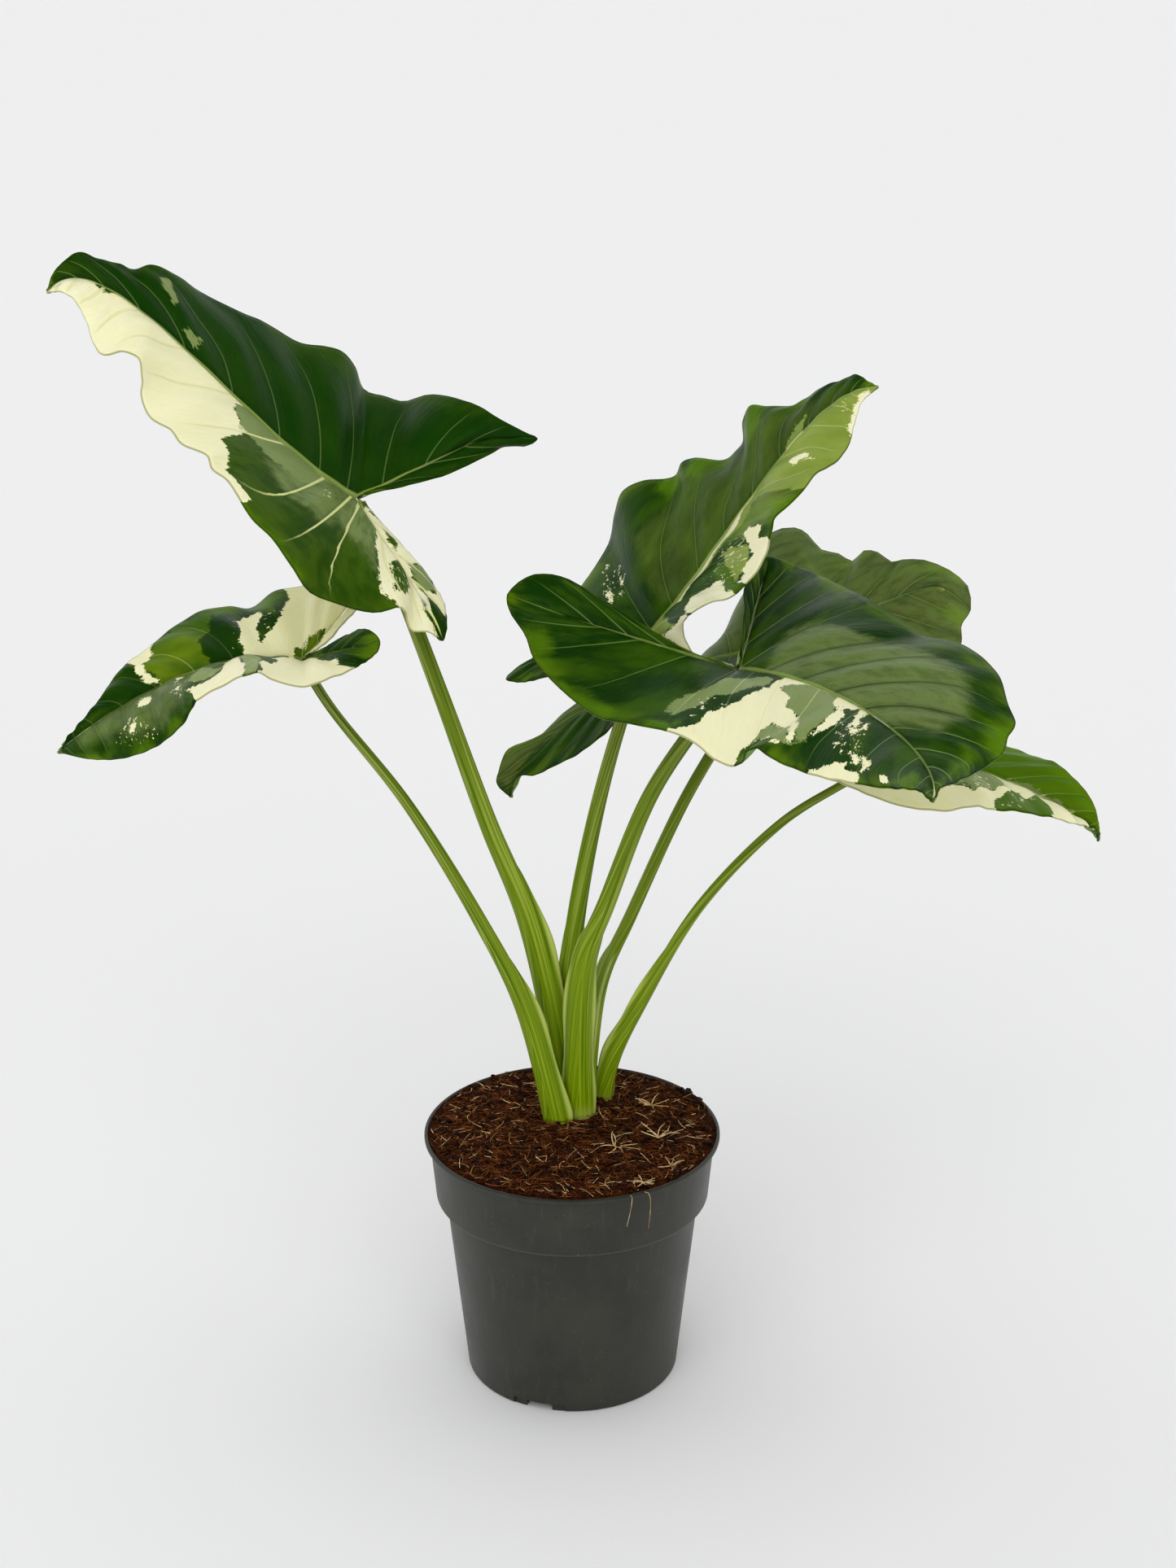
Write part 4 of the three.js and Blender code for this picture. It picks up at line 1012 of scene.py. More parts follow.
def blade_half(name, side, seed):
    """One half of a blade: a grid on its pleated skin, with the notes that the finish needs."""
    leaf, half = LEAVES[name], (name, side)
    points, up, width = skin(leaf, side, STATIONS, ROWS)
    stations, rows = np.meshgrid(STATIONS, ROWS, indexing="ij")
    phase = phase_at(stations, rows)
    number = vein_number(name, side, phase, rows)
    across = rows * width[:, None]
    spacing = vein_spacing(points, number)
    lifted = points + up[:, None] * relief(number, spacing, across, rows, phase, seed)[..., None]
    rib_length = np.linalg.norm(np.asarray(leaf["rib"][3]) - np.asarray(leaf["rib"][0]))
    fields = tissue_fields(name, side, points, phase, rows)
    rib_half = np.interp(stations, *RIB_HALF_WIDTH)
    notes = {
        "veins": (number, spacing, rows),
        "place": (phase * rib_length / (TIP - SHOULDER), across, (1 - rows) * width[:, None]),
        "tissue": (fields["cream"], fields["pale"], fields["dark"]),
        "marks": (fields["flecked"], fields["fresh"], fields["soft"]),
        "ribs": (rib_half, RIB_SHOWS.get(name, USUAL_RIB), PAINTED_SHEEN.get(half, 0.0)),
        "habit": (np.full(rows.shape, OLIVE.get(half, 0.0)), BOLD_VEINS.get(half, USUAL_VEINS), float(seed)),
    }
    bpy.ops.mesh.primitive_grid_add(x_subdivisions=len(STATIONS) - 1, y_subdivisions=len(ROWS) - 1, size=1)
    grid = bpy.context.object
    column, row = grid_places(grid, len(STATIONS), len(ROWS))
    move_points(grid, lifted[column, row])
    write_notes(grid, notes, column, row)
    keel = grid.data.attributes.new("keel", "FLOAT", "POINT")
    keel.data.foreach_set("value", keel_share(stations, across)[column, row].astype(np.float32))
    if side == "right":
        with edit_mode(grid):
            bpy.ops.mesh.flip_normals()
    return grid


print("the rib's keel reaches", KEEL_REACH, "mm to each side")

# %% Weld the halves and grow their thickness
SKIN_THICKNESS, KEEL_THICKNESS = 0.9, 2.7
KEEL_LEVELS = 20
WELD = 0.00001


def thicken(blade):
    """Grows the blade's thickness downwards, thickest along the ribs."""
    keel = np.empty(len(blade.data.vertices), np.float32)
    blade.data.attributes["keel"].data.foreach_get("value", keel)
    group = blade.vertex_groups.new(name="keel")
    for level in range(1, KEEL_LEVELS + 1):
        chosen = np.flatnonzero(np.rint(keel * KEEL_LEVELS) == level)
        group.add(chosen.tolist(), level / KEEL_LEVELS, "REPLACE")
    solid = blade.modifiers.new("thickness", "SOLIDIFY")
    solid.thickness = KEEL_THICKNESS * MM
    solid.offset = -1
    solid.vertex_group = "keel"
    solid.thickness_vertex_group = SKIN_THICKNESS / KEEL_THICKNESS
    solid.material_offset = 1
    bpy.ops.object.modifier_apply(modifier="thickness")


def make_blade(name, seed, finishes):
    """Both halves as one blade, with a finish for its upper side and one for its underside."""
    halves = [blade_half(name, side, seed + k) for k, side in enumerate(("left", "right"))]
    only(halves[0])
    halves[1].select_set(True)
    bpy.ops.object.join()
    blade = bpy.context.object
    blade.name = "leaf_" + name
    with edit_mode(blade):
        bpy.ops.mesh.remove_doubles(threshold=WELD)
    bpy.ops.object.shade_smooth()
    for finish in finishes:
        blade.data.materials.append(finish)
    thicken(blade)
    install(blade, None, "blade_" + name)


print("a blade is", SKIN_THICKNESS, "mm thick, and", KEEL_THICKNESS, "mm at its keel")

# %% [markdown]
# ## What the leaf finish reads
#
# The finish could find its place on a leaf from an unwrapped map, but a map bends at every fold. The
# stored notes give it directly: millimetres along and across, the vein number and the distances to the
# sector borders. Two sizes of noise shake those distances, so that borders come out toothed. Clouds and
# mottle are broad noises, and grain is drawn out along the veins.

# %% Gather the notes and the noises
BIG_TEETH, SMALL_TEETH = 9, 6.5
SEED_APART = 40


def leaf_maps(mix):
    """The stored notes and the noises that all parts of the leaf finish share."""
    maps = SimpleNamespace()
    maps.number, maps.spacing, maps.row = mix.parts(mix.attribute("veins"))
    maps.along, maps.across, maps.margin = mix.parts(mix.attribute("place"))
    maps.cream, maps.pale, maps.dark = mix.parts(mix.attribute("tissue"))
    maps.flecked, maps.fresh, maps.soft = mix.parts(mix.attribute("marks"))
    maps.olive, maps.bold, maps.seed = mix.parts(mix.attribute("habit"))
    maps.rib_half, maps.rib_shows, maps.softness = mix.parts(mix.attribute("ribs"))

    maps.spot = mix.node("CombineXYZ", {}, maps.along, maps.across, mix.times(maps.seed, SEED_APART))[0]
    big_teeth = mix.calc("SUBTRACT", mix.noise(mix.stretch(maps.spot, 1, 0.7), 0.16, 2), 0.5)
    small_teeth = mix.calc("SUBTRACT", mix.noise(maps.spot, 0.75, 2, 0.7), 0.5)
    maps.shake = mix.calc("MULTIPLY_ADD", big_teeth, BIG_TEETH, mix.times(small_teeth, SMALL_TEETH))
    between = mix.calc("ABSOLUTE", mix.calc("SUBTRACT", mix.calc("FRACT", maps.number), 0.5))
    maps.off_vein = mix.times(mix.calc("SUBTRACT", 0.5, between), maps.spacing)
    maps.clouds = mix.noise(maps.spot, 0.035, 3)
    maps.mottle = mix.noise(maps.spot, 0.12, 3)
    maps.grain = mix.noise(mix.stretch(maps.spot, 0.55, 0.09), 1, 4, 0.6)
    maps.fine = mix.noise(maps.spot, 0.9, 2)
    return maps


def reached(mix, maps, field, outer, inner, most=1):
    """How much of a tissue a point has, from its distance to the border and the shake."""
    return mix.step(mix.calc("ADD", field, maps.shake), outer, inner, 0, most)


print("borders are shaken by up to", (BIG_TEETH + SMALL_TEETH) / 2, "mm")

# %% [markdown]
# ## Green tissue and veins
#
# Healthy tissue is nearly black-green and warmer in patches. Near the margin it turns yellow-green,
# partly in its own tone and partly as a painted glow of light through the thin edge, and painted shade
# darkens each pleat on the side where it folds down to its vein. Pale tissue is grey-green or olive, and
# soft areas carry a painted grey sheen. Where a blade half has bold veins they are cream and over a
# millimetre wide, and elsewhere they are thin, a little lighter than the skin, or just dark creases of
# painted shade in skin with a painted sheen. One picture of a leaf could give all of this for one leaf
# alone, while these mixes give six different ones.

# %% Mix the greens
# The dark green is also the painted shade on each pleat, and the edge green is partly a painted glow near the
# margin.
GREENS = {
    "deep": (16, 54, 0), "warm": (52, 88, 2), "streak": (66, 100, 22),
    "edge": (98, 132, 6), "fresh": (92, 132, 4), "dark": (16, 56, 0),
}
UNDER_GREENS = {
    "deep": (84, 112, 60), "warm": (104, 134, 66), "streak": (110, 140, 74),
    "edge": (112, 146, 56), "fresh": (116, 148, 60), "dark": (70, 100, 52),
}
BOLD_HALF_GREENS = paint(42, 78, 0), paint(66, 98, 14)
GREY_GREENS = paint(112, 132, 82), paint(142, 158, 108)
OLIVES = paint(104, 130, 40), paint(160, 174, 98)
FRESH_OLIVES = paint(62, 100, 8), paint(112, 136, 24)


def green_tissue(mix, maps, greens):
    """The colour of the green parts, with painted shade on the pleats, a painted glow near the margin and a
    painted sheen, and how much of a point is pale.
    """
    clouds = mix.step(maps.clouds, 0.35, 0.7)
    green = mix.blend(clouds, paint(*greens["deep"]), paint(*greens["warm"]))
    green = mix.blend(mix.step(maps.grain, 0.52, 0.72, 0, 0.3), green, paint(*greens["streak"]))
    bold_green = mix.blend(mix.step(maps.mottle, 0.35, 0.65), *BOLD_HALF_GREENS)
    green = mix.blend(mix.step(maps.bold, 1.1, 1.5, 0, 0.75), green, bold_green)
    plain_half = mix.step(maps.bold, 1.1, 1.5, 1, 0.35)
    # Painted shade: each pleat is darkened just past its vein on the tip side, less towards the margin.
    painted_fold_shade = mix.times(mix.step(mix.calc("FRACT", maps.number), 0.02, 0.5, 0.5, 0), mix.step(maps.row, 1, 0.5))
    green = mix.blend(mix.times(painted_fold_shade, plain_half), green, paint(*greens["dark"]))
    # Partly painted light: within 15 mm of the margin the green turns yellow-green in patches, the margin's
    # own tone with a painted glow of light through the thin edge.
    margin_tone_and_glow = mix.times(mix.step(maps.margin, 15, 1), mix.step(maps.clouds, 0.42, 0.62))
    green = mix.blend(mix.times(margin_tone_and_glow, mix.times(plain_half, 0.6)), green, paint(*greens["edge"]))
    # The fresh green also paints light on one shaded patch of the low right leaf.
    green = mix.blend(reached(mix, maps, maps.fresh, -6, 5, 0.6), green, paint(*greens["fresh"]))
    green = mix.blend(reached(mix, maps, maps.dark, -0.4, 0.4, 0.8), green, paint(*greens["dark"]))

    grey_green = mix.blend(maps.fine, *GREY_GREENS)
    dull_olive, fresh_olive = mix.blend(maps.clouds, *OLIVES), mix.blend(clouds, *FRESH_OLIVES)
    olive_green = mix.blend(mix.step(maps.olive, 1, 2), dull_olive, fresh_olive)
    pale_and_sheen_green = mix.blend(mix.calc("MINIMUM", maps.olive, 1), grey_green, olive_green)
    # Painted sheen: soft areas turn grey-green, most between the veins and in patches, as sheen on the
    # pleats.
    swell = mix.times(mix.step(maps.off_vein, -1, 3.5, 0.5, 1), mix.step(maps.mottle, 0.3, 0.6, 0.6, 1))
    painted_sheen_here = mix.times(reached(mix, maps, maps.soft, -5, 6), mix.times(maps.softness, swell))
    pale_here = reached(mix, maps, maps.pale, -0.5, 0.5, 0.94)
    green = mix.blend(painted_sheen_here, green, pale_and_sheen_green)
    return mix.blend(pale_here, green, pale_and_sheen_green), pale_here


def vein_lines(mix, maps):
    """How much of a point lies on a side vein; bold veins are wide, and all thin out to the margin."""
    thin = mix.calc("MULTIPLY_ADD", maps.row, -0.65, 1)
    half = mix.times(thin, mix.step(maps.bold, 0.8, 1.7, 0.46, 1))
    on_vein = mix.step(mix.calc("DIVIDE", maps.off_vein, half), 1.35, 0.65)
    strength = mix.times(mix.step(maps.row, 1.0, 0.6), mix.step(maps.bold, 0.2, 1.6, 0.25, 0.95))
    return mix.times(on_vein, strength)


def vein_colour(mix, maps, pale_here, underside):
    """Cream on bold and pale halves, light green on others, and painted shade on veins that crease skin with
    a painted sheen.
    """
    # Painted shade: on halves of middling boldness, veins in soft areas are dark creases.
    halves_with_crease_shade = mix.times(mix.step(maps.bold, 0.8, 0.95), mix.step(maps.bold, 1.5, 1.1))
    painted_crease_shade = mix.times(reached(mix, maps, maps.soft, -5, 6), halves_with_crease_shade)
    light_vein = paint(156, 176, 112) if underside else paint(124, 152, 90)
    thin_vein = mix.blend(painted_crease_shade, light_vein, paint(40, 58, 28))
    cream_vein = mix.calc("MAXIMUM", pale_here, mix.step(maps.bold, 1.1, 1.5))
    return mix.blend(cream_vein, thin_vein, paint(210, 214, 158))


print("greens of the upper side:", GREENS)

# %% [markdown]
# ## Cream tissue and the rib
#
# Cream goes over everything else. Its flecks could be scattered as small pieces, but it is lighter to
# let a third noise stand above a level inside the areas marked for them. The main rib is a pale band
# that narrows towards the tip, the margin a thin dark line. Relief follows the same drawing: veins sunk
# above and raised below, with fine grain. Light spreads a few millimetres inside the skin.

# %% Put the leaf finish together
def cream_tissue(mix, maps, on_vein):
    """Ivory colour, and how much of a point is cream."""
    ivory = mix.blend(maps.clouds, paint(229, 225, 184), paint(238, 234, 203))
    ivory = mix.blend(mix.step(maps.grain, 0.5, 0.8, 0, 0.4), ivory, paint(216, 214, 162))
    ivory = mix.blend(mix.times(on_vein, 0.45), ivory, paint(206, 204, 146))
    flakes = mix.noise(mix.stretch(maps.spot, 1, 0.55), 0.45, 4, 0.75)
    flecks = mix.step(mix.times(mix.step(maps.flecked, -3, 3), flakes), 0.59, 0.605)
    return ivory, mix.calc("MAXIMUM", reached(mix, maps, maps.cream, -0.25, 0.25), flecks)


def leaf_finish(name, underside):
    """The skin of all six leaves, on their upper side or on their underside."""
    mix = Finish(name)
    maps = leaf_maps(mix)
    green, pale_here = green_tissue(mix, maps, UNDER_GREENS if underside else GREENS)
    on_vein = vein_lines(mix, maps)
    colour = mix.blend(on_vein, green, vein_colour(mix, maps, pale_here, underside))
    ivory, cream_here = cream_tissue(mix, maps, on_vein)
    colour = mix.blend(cream_here, colour, ivory)

    over_rib = mix.step(mix.calc("DIVIDE", maps.across, maps.rib_half), 1.2, 0.7)
    on_rib = mix.times(over_rib, maps.rib_shows)
    rib_green = mix.blend(pale_here, paint(152, 170, 98), paint(212, 214, 154))
    colour = mix.blend(on_rib, colour, mix.blend(cream_here, rib_green, paint(222, 220, 166)))
    dark_line = mix.blend(cream_here, paint(26, 42, 6), paint(90, 102, 46))
    colour = mix.blend(mix.step(maps.margin, 1.1, 0.4, 0, 0.6), colour, dark_line)
    if underside:
        colour = mix.blend(0.25, colour, paint(150, 168, 120))

    lines = mix.bump(mix.times(on_vein, 1 if underside else -0.6), 0.0005, 0.8)
    relief_of_skin = mix.bump(maps.fine, 0.00012, 0.5, mix.bump(maps.grain, 0.0007, 0.6, lines))
    roughness = 0.62 if underside else mix.step(maps.clouds, 0.3, 0.7, 0.32, 0.42)
    return mix.done(colour, roughness, relief_of_skin, 0.2 if underside else 0.17, 0.004)


LEAF_TOP = leaf_finish("leaf_upper_skin", False)
LEAF_UNDER = leaf_finish("leaf_underside", True)
print("leaf finishes:", LEAF_TOP.name, LEAF_UNDER.name)

# %% Make the six blades
for seed, leaf_name in enumerate(LEAVES):
    make_blade(leaf_name, 2 * seed + 1, (LEAF_TOP, LEAF_UNDER))

# %% [markdown]
# ## Stalks
#
# A stalk of this plant is round at the top and broadens downwards into an open sheath, whose two thin
# lips wrap the next younger stalk. A bevelled curve would give the round part but not the sheath. So a
# grid is rolled into a tube that follows a smooth path; its section is an ellipse that flattens on the
# inner side, with a lip raised at each side.

# %% Roll a grid into each stalk
AROUND, ALONG = 56, 150
SHEATH_SHARE, SHEATH_TAPER = 0.8, 1.3
INNER_FLAT, SIDE_FLAT = 0.6, 0.52
LIP_ANGLE, LIP_SPREAD = math.radians(112), math.radians(16)
LIP_HEIGHT, LIP_INWARD, LIP_ASIDE = 5, 0.55, 0.85
LIP_END, LIP_FADE = 0.42, 0.12
LIP_WAVE, LIP_WAVES = 0.2, 40


def stalk_sections(leaf):
    """Middle, outward and sideways directions, sheath share and half sizes along a stalk."""
    path = leaf["stalk"]
    share = np.linspace(0, 1, ALONG)
    middle = curve_through(path, share * (len(path) - 1))
    tangent = np.gradient(middle, axis=0)
    tangent /= np.linalg.norm(tangent, axis=1)[:, None]
    facing = np.array([*leaf["faces"], 0.0])
    outward = facing - (tangent @ facing)[:, None] * tangent
    outward /= np.linalg.norm(outward, axis=1)[:, None]
    sideways = np.cross(tangent, outward)
    sheath = np.clip(1 - share / SHEATH_SHARE, 0, 1) ** SHEATH_TAPER
    half_width = leaf["top"] + (leaf["base"] - leaf["top"]) * sheath
    half_depth = leaf["top"] + (SIDE_FLAT * leaf["base"] - leaf["top"]) * sheath
    return share, middle, outward, sideways, sheath, half_width, half_depth


def make_stalk(name, seed):
    """A grid rolled round the stalk's path, closed at both ends."""
    leaf = LEAVES[name]
    share, middle, outward, sideways, sheath, half_width, half_depth = stalk_sections(leaf)
    angle = np.linspace(0, 2 * np.pi, AROUND + 1)
    turned = (angle + np.pi) % (2 * np.pi) - np.pi
    cos, sin = np.cos(angle), np.sin(angle)
    flat = np.where(cos[None, :] < 0, 1 + (INNER_FLAT - 1) * sheath[:, None], 1)
    lip = np.exp(-(((np.abs(turned) - LIP_ANGLE) / LIP_SPREAD) ** 2))
    wave = 1 - LIP_WAVE + LIP_WAVE * np.sin(share * LIP_WAVES + seed)
    lip_here = np.clip((LIP_END - share) / LIP_FADE, 0, 1) ** 0.7 * wave
    raised = LIP_HEIGHT * lip[None, :] * lip_here[:, None]
    out = half_depth[:, None] * flat * cos - raised * LIP_INWARD
    side = half_width[:, None] * sin + raised * np.sign(np.sin(turned)) * LIP_ASIDE
    points = middle[:, None] + outward[:, None] * out[..., None] + sideways[:, None] * side[..., None]
    length = np.linalg.norm(np.diff(middle, axis=0), axis=1).sum()
    run, turn = np.meshgrid(share * length, angle, indexing="ij")
    notes = {
        "place": (run, turn * half_width[:, None], float(seed)),
        "marks": (lip[None, :] * lip_here[:, None], share[:, None], 0.0),
    }
    bpy.ops.mesh.primitive_grid_add(x_subdivisions=ALONG - 1, y_subdivisions=AROUND, size=1)
    stalk = bpy.context.object
    stalk.name = "stalk_" + name
    column, row = grid_places(stalk, ALONG, AROUND + 1)
    move_points(stalk, points[column, row])
    write_notes(stalk, notes, column, row)
    with edit_mode(stalk):
        bpy.ops.mesh.remove_doubles(threshold=WELD)
        bpy.ops.mesh.fill_holes(sides=0)
        bpy.ops.mesh.select_all(action="SELECT")
        bpy.ops.mesh.normals_make_consistent(inside=False)
    bpy.ops.object.shade_smooth()
    return stalk


print("a stalk has", ALONG, "rings of", AROUND, "points")

# %% [markdown]
# ## Stalk skin
#
# The stalks are yellow-green and satin, with fine pale lines that run their whole length, duller and
# darker towards the blade. Noise in millimetres along and around, drawn out a hundred times along the
# stalk, gives such lines. The sheath's lips are thin and almost without green, so they show as pale
# straw-coloured strips beside the stalk.

# %% Mix the stalk finish and make the six stalks
LINES_DRAWN_OUT = 0.012
STALKS_APART = 17


def stalk_finish():
    """Satin skin whose colours change with the share of the way up the stalk."""
    mix = Finish("stalk_skin")
    along, around, seed = mix.parts(mix.attribute("place"))
    lip, share = mix.parts(mix.attribute("marks"))[:2]
    drawn_out, apart = mix.times(along, LINES_DRAWN_OUT), mix.times(seed, STALKS_APART)
    spot = mix.node("CombineXYZ", {}, drawn_out, around, apart)[0]
    lines = mix.noise(spot, 0.75, 3, 0.55)
    patches = mix.noise(mix.stretch(spot, 1, 0.25), 0.8, 2)
    colour = mix.blend(share, paint(124, 150, 0), paint(98, 113, 40))
    pale_line = mix.blend(share, paint(164, 182, 34), paint(152, 160, 108))
    dark_line = mix.blend(share, paint(74, 108, 0), paint(56, 78, 12))
    patch = mix.blend(share, paint(140, 160, 24), paint(112, 124, 52))
    colour = mix.blend(mix.step(lines, 0.5, 0.66, 0, 0.75), colour, pale_line)
    colour = mix.blend(mix.step(lines, 0.48, 0.32, 0, 0.75), colour, dark_line)
    colour = mix.blend(mix.step(patches, 0.5, 0.8, 0, 0.5), colour, patch)
    colour = mix.blend(mix.step(share, 0.08, 0.02, 0, 0.6), colour, paint(190, 192, 120))
    colour = mix.blend(mix.step(lip, 0.1, 0.6, 0, 0.75), colour, paint(188, 200, 112))
    relief_of_lines = mix.bump(lines, 0.0005, 0.5)
    return mix.done(colour, mix.step(lines, 0.3, 0.7, 0.36, 0.48), relief_of_lines, 0.16)


STALK_SKIN = stalk_finish()
for seed, leaf_name in enumerate(LEAVES):
    install(make_stalk(leaf_name, seed + 1), STALK_SKIN, "petiole_" + leaf_name)

# %% [markdown]
# ## The nursery pot
#
# The pot is thin blow-moulded or injected plastic, a body of revolution: a rounded lip, a wide band,
# a step, a tapering body and a flat floor with holes. Stacked cylinders would have sharp steps, so its
# section is a closed outline with a small radius at each corner. A circle primitive gives the loop of
# edges; its points are moved to the outline, and the spin operator turns it into the pot. The drainage
# holes, and the low slots where they reach the wall's foot, are cut with boolean modifiers.

# %% Measurements of the pot
POT_HEIGHT = 166
LIP_RADIUS, LIP_DEPTH = 95, 3
BAND_TOP_RADIUS, BAND_FOOT_RADIUS, BAND_FOOT_Z = 91.6, 87.9, 123.2
BODY_TOP_RADIUS, BODY_FOOT_RADIUS = 81.9, 68.9
WALL, FLOOR_THICK = 1.6, 2
CENTRE_HOLE = 3
DRAIN_HOLES, DRAIN_RADIUS, DRAIN_CIRCLE = 6, 6, 38
FOOT_SLOTS, SLOT_WIDTH, SLOT_HEIGHT, SLOT_DEPTH, FIRST_SLOT = 3, 17, 4.4, 14, 252
SCOOP_TURN, SCOOP_SIZE = 5.6, (2.6, 8, SLOT_HEIGHT + 0.6)
RIM_THICK = 1.8
NEARLY_STRAIGHT = 1.55


def rounded(corners, steps=4):
    """A closed outline whose corners (x, y, radius) are rounded with short arcs."""
    points = []
    count = len(corners)
    for k, (x, y, radius) in enumerate(corners):
        here = np.array([x, y], float)
        before = np.array(corners[k - 1][:2], float) - here
        after = np.array(corners[(k + 1) % count][:2], float) - here
        before, after = before / np.linalg.norm(before), after / np.linalg.norm(after)
        half = math.acos(np.clip(before @ after, -1, 1)) / 2
        if radius == 0 or half > NEARLY_STRAIGHT:
            points.append(here)
            continue
        start, end = here + before * radius / math.tan(half), here + after * radius / math.tan(half)
        centre = here + (before + after) / np.linalg.norm(before + after) * radius / math.sin(half)
        first = math.atan2(*(start - centre)[::-1])
        turn = (math.atan2(*(end - centre)[::-1]) - first + math.pi) % (2 * math.pi) - math.pi
        for t in np.linspace(0, 1, steps + 1):
            angle = first + turn * t
            points.append(centre + radius * np.array([math.cos(angle), math.sin(angle)]))
    return np.array(points)


def body_radius(z):
    """The outer radius of the tapering body at a height."""
    return BODY_FOOT_RADIUS + (BODY_TOP_RADIUS - BODY_FOOT_RADIUS) * z / BAND_FOOT_Z


LIP_FOOT = POT_HEIGHT - LIP_DEPTH
outline = rounded([
    (CENTRE_HOLE, 0, 0), (BODY_FOOT_RADIUS, 0, 1.4), (BODY_TOP_RADIUS, BAND_FOOT_Z, 0.8),
    (BAND_FOOT_RADIUS, BAND_FOOT_Z, 1.2), (BAND_TOP_RADIUS, LIP_FOOT, 0.5), (LIP_RADIUS, LIP_FOOT, 0.9),
    (LIP_RADIUS, POT_HEIGHT, 0.9), (LIP_RADIUS - RIM_THICK, POT_HEIGHT, 0.6),
    (BAND_TOP_RADIUS - WALL, LIP_FOOT - 1.5, 1.0), (BAND_FOOT_RADIUS - WALL, BAND_FOOT_Z + 1.6, 1.0),
    (BODY_TOP_RADIUS - WALL, BAND_FOOT_Z + 1.6, 1.0), (BODY_FOOT_RADIUS - WALL, FLOOR_THICK, 1.6),
    (CENTRE_HOLE, FLOOR_THICK, 0),
])
print("the pot's section has", len(outline), "points")

# %% Spin a closed outline into a solid and cut its holes
POT_STEPS = 144
SPIN_WELD = 0.000005
DRILL_SIDES, DRILL_LENGTH = 32, 0.02
CREASE = math.radians(35)


def put_in_order(piece, steps):
    """Renumbers a spun mesh by place, because the operators leave it in an order that changes."""
    def place(vertex):
        x, y, z = vertex.co
        return round(math.atan2(y, x) / (2 * math.pi) * steps) % steps, z, round(math.hypot(x, y), 6)

    points = sorted(piece.data.vertices, key=place)
    number = {vertex.index: k for k, vertex in enumerate(points)}
    faces = []
    for polygon in piece.data.polygons:
        face = [number[k] for k in polygon.vertices]
        first = face.index(min(face))
        faces.append(face[first:] + face[:first])
    ordered = bpy.data.meshes.new(piece.name)
    ordered.from_pydata([vertex.co[:] for vertex in points], [], sorted(faces))
    piece.data = ordered


def spun(name, section, steps):
    """Moves a circle's points to the section, in the XZ plane, and spins it round the Z axis."""
    bpy.ops.mesh.primitive_circle_add(vertices=len(section), radius=1)
    piece = bpy.context.object
    piece.name = name
    move_points(piece, np.stack([section[:, 0], np.zeros(len(section)), section[:, 1]], 1))
    with edit_mode(piece):
        bpy.ops.mesh.spin(steps=steps, angle=2 * math.pi, center=(0, 0, 0), axis=(0, 0, 1))
        bpy.ops.mesh.select_all(action="SELECT")
        bpy.ops.mesh.remove_doubles(threshold=SPIN_WELD)
        bpy.ops.mesh.normals_make_consistent(inside=False)
    put_in_order(piece, steps)
    return piece


def cut_away(piece, tools):
    """Cuts each tool out of a piece and removes it."""
    for tool in tools:
        only(piece)
        cut = piece.modifiers.new("cut", "BOOLEAN")
        cut.object = tool
        cut.solver = "EXACT"
        bpy.ops.object.modifier_apply(modifier="cut")
        bpy.data.objects.remove(tool)


def on_circle(radius, turn):
    """A place on the floor, for a radius in millimetres."""
    return radius * MM * math.cos(turn), radius * MM * math.sin(turn), 0


def hole_tools():
    """Cylinders for the drainage holes, and blocks for the slots and the scoops round each slot."""
    tools = []
    for k in range(DRAIN_HOLES):
        place = on_circle(DRAIN_CIRCLE, 2 * math.pi * k / DRAIN_HOLES)
        bpy.ops.mesh.primitive_cylinder_add(
            vertices=DRILL_SIDES, radius=DRAIN_RADIUS * MM, depth=DRILL_LENGTH, location=place)
        tools.append(bpy.context.object)
    for k in range(FOOT_SLOTS):
        blocks = [(0, SLOT_DEPTH, SLOT_WIDTH, SLOT_HEIGHT)]
        blocks += [(math.radians(SCOOP_TURN * step), *SCOOP_SIZE) for step in (-2, -1, 0, 1, 2)]
        for aside, deep, wide, high in blocks:
            turn = math.radians(FIRST_SLOT + 360 * k / FOOT_SLOTS) + aside
            size = deep * MM, wide * MM, 2 * high * MM
            place = on_circle(BODY_FOOT_RADIUS, turn)
            bpy.ops.mesh.primitive_cube_add(size=1, location=place, rotation=(0, 0, turn), scale=size)
            tools.append(bpy.context.object)
    return tools


pot = spun("nursery_pot", outline, POT_STEPS)
cut_away(pot, hole_tools())
only(pot)
bpy.ops.object.shade_smooth_by_angle(angle=CREASE)
print("the pot has", DRAIN_HOLES, "drainage holes and", FOOT_SLOTS, "foot slots")
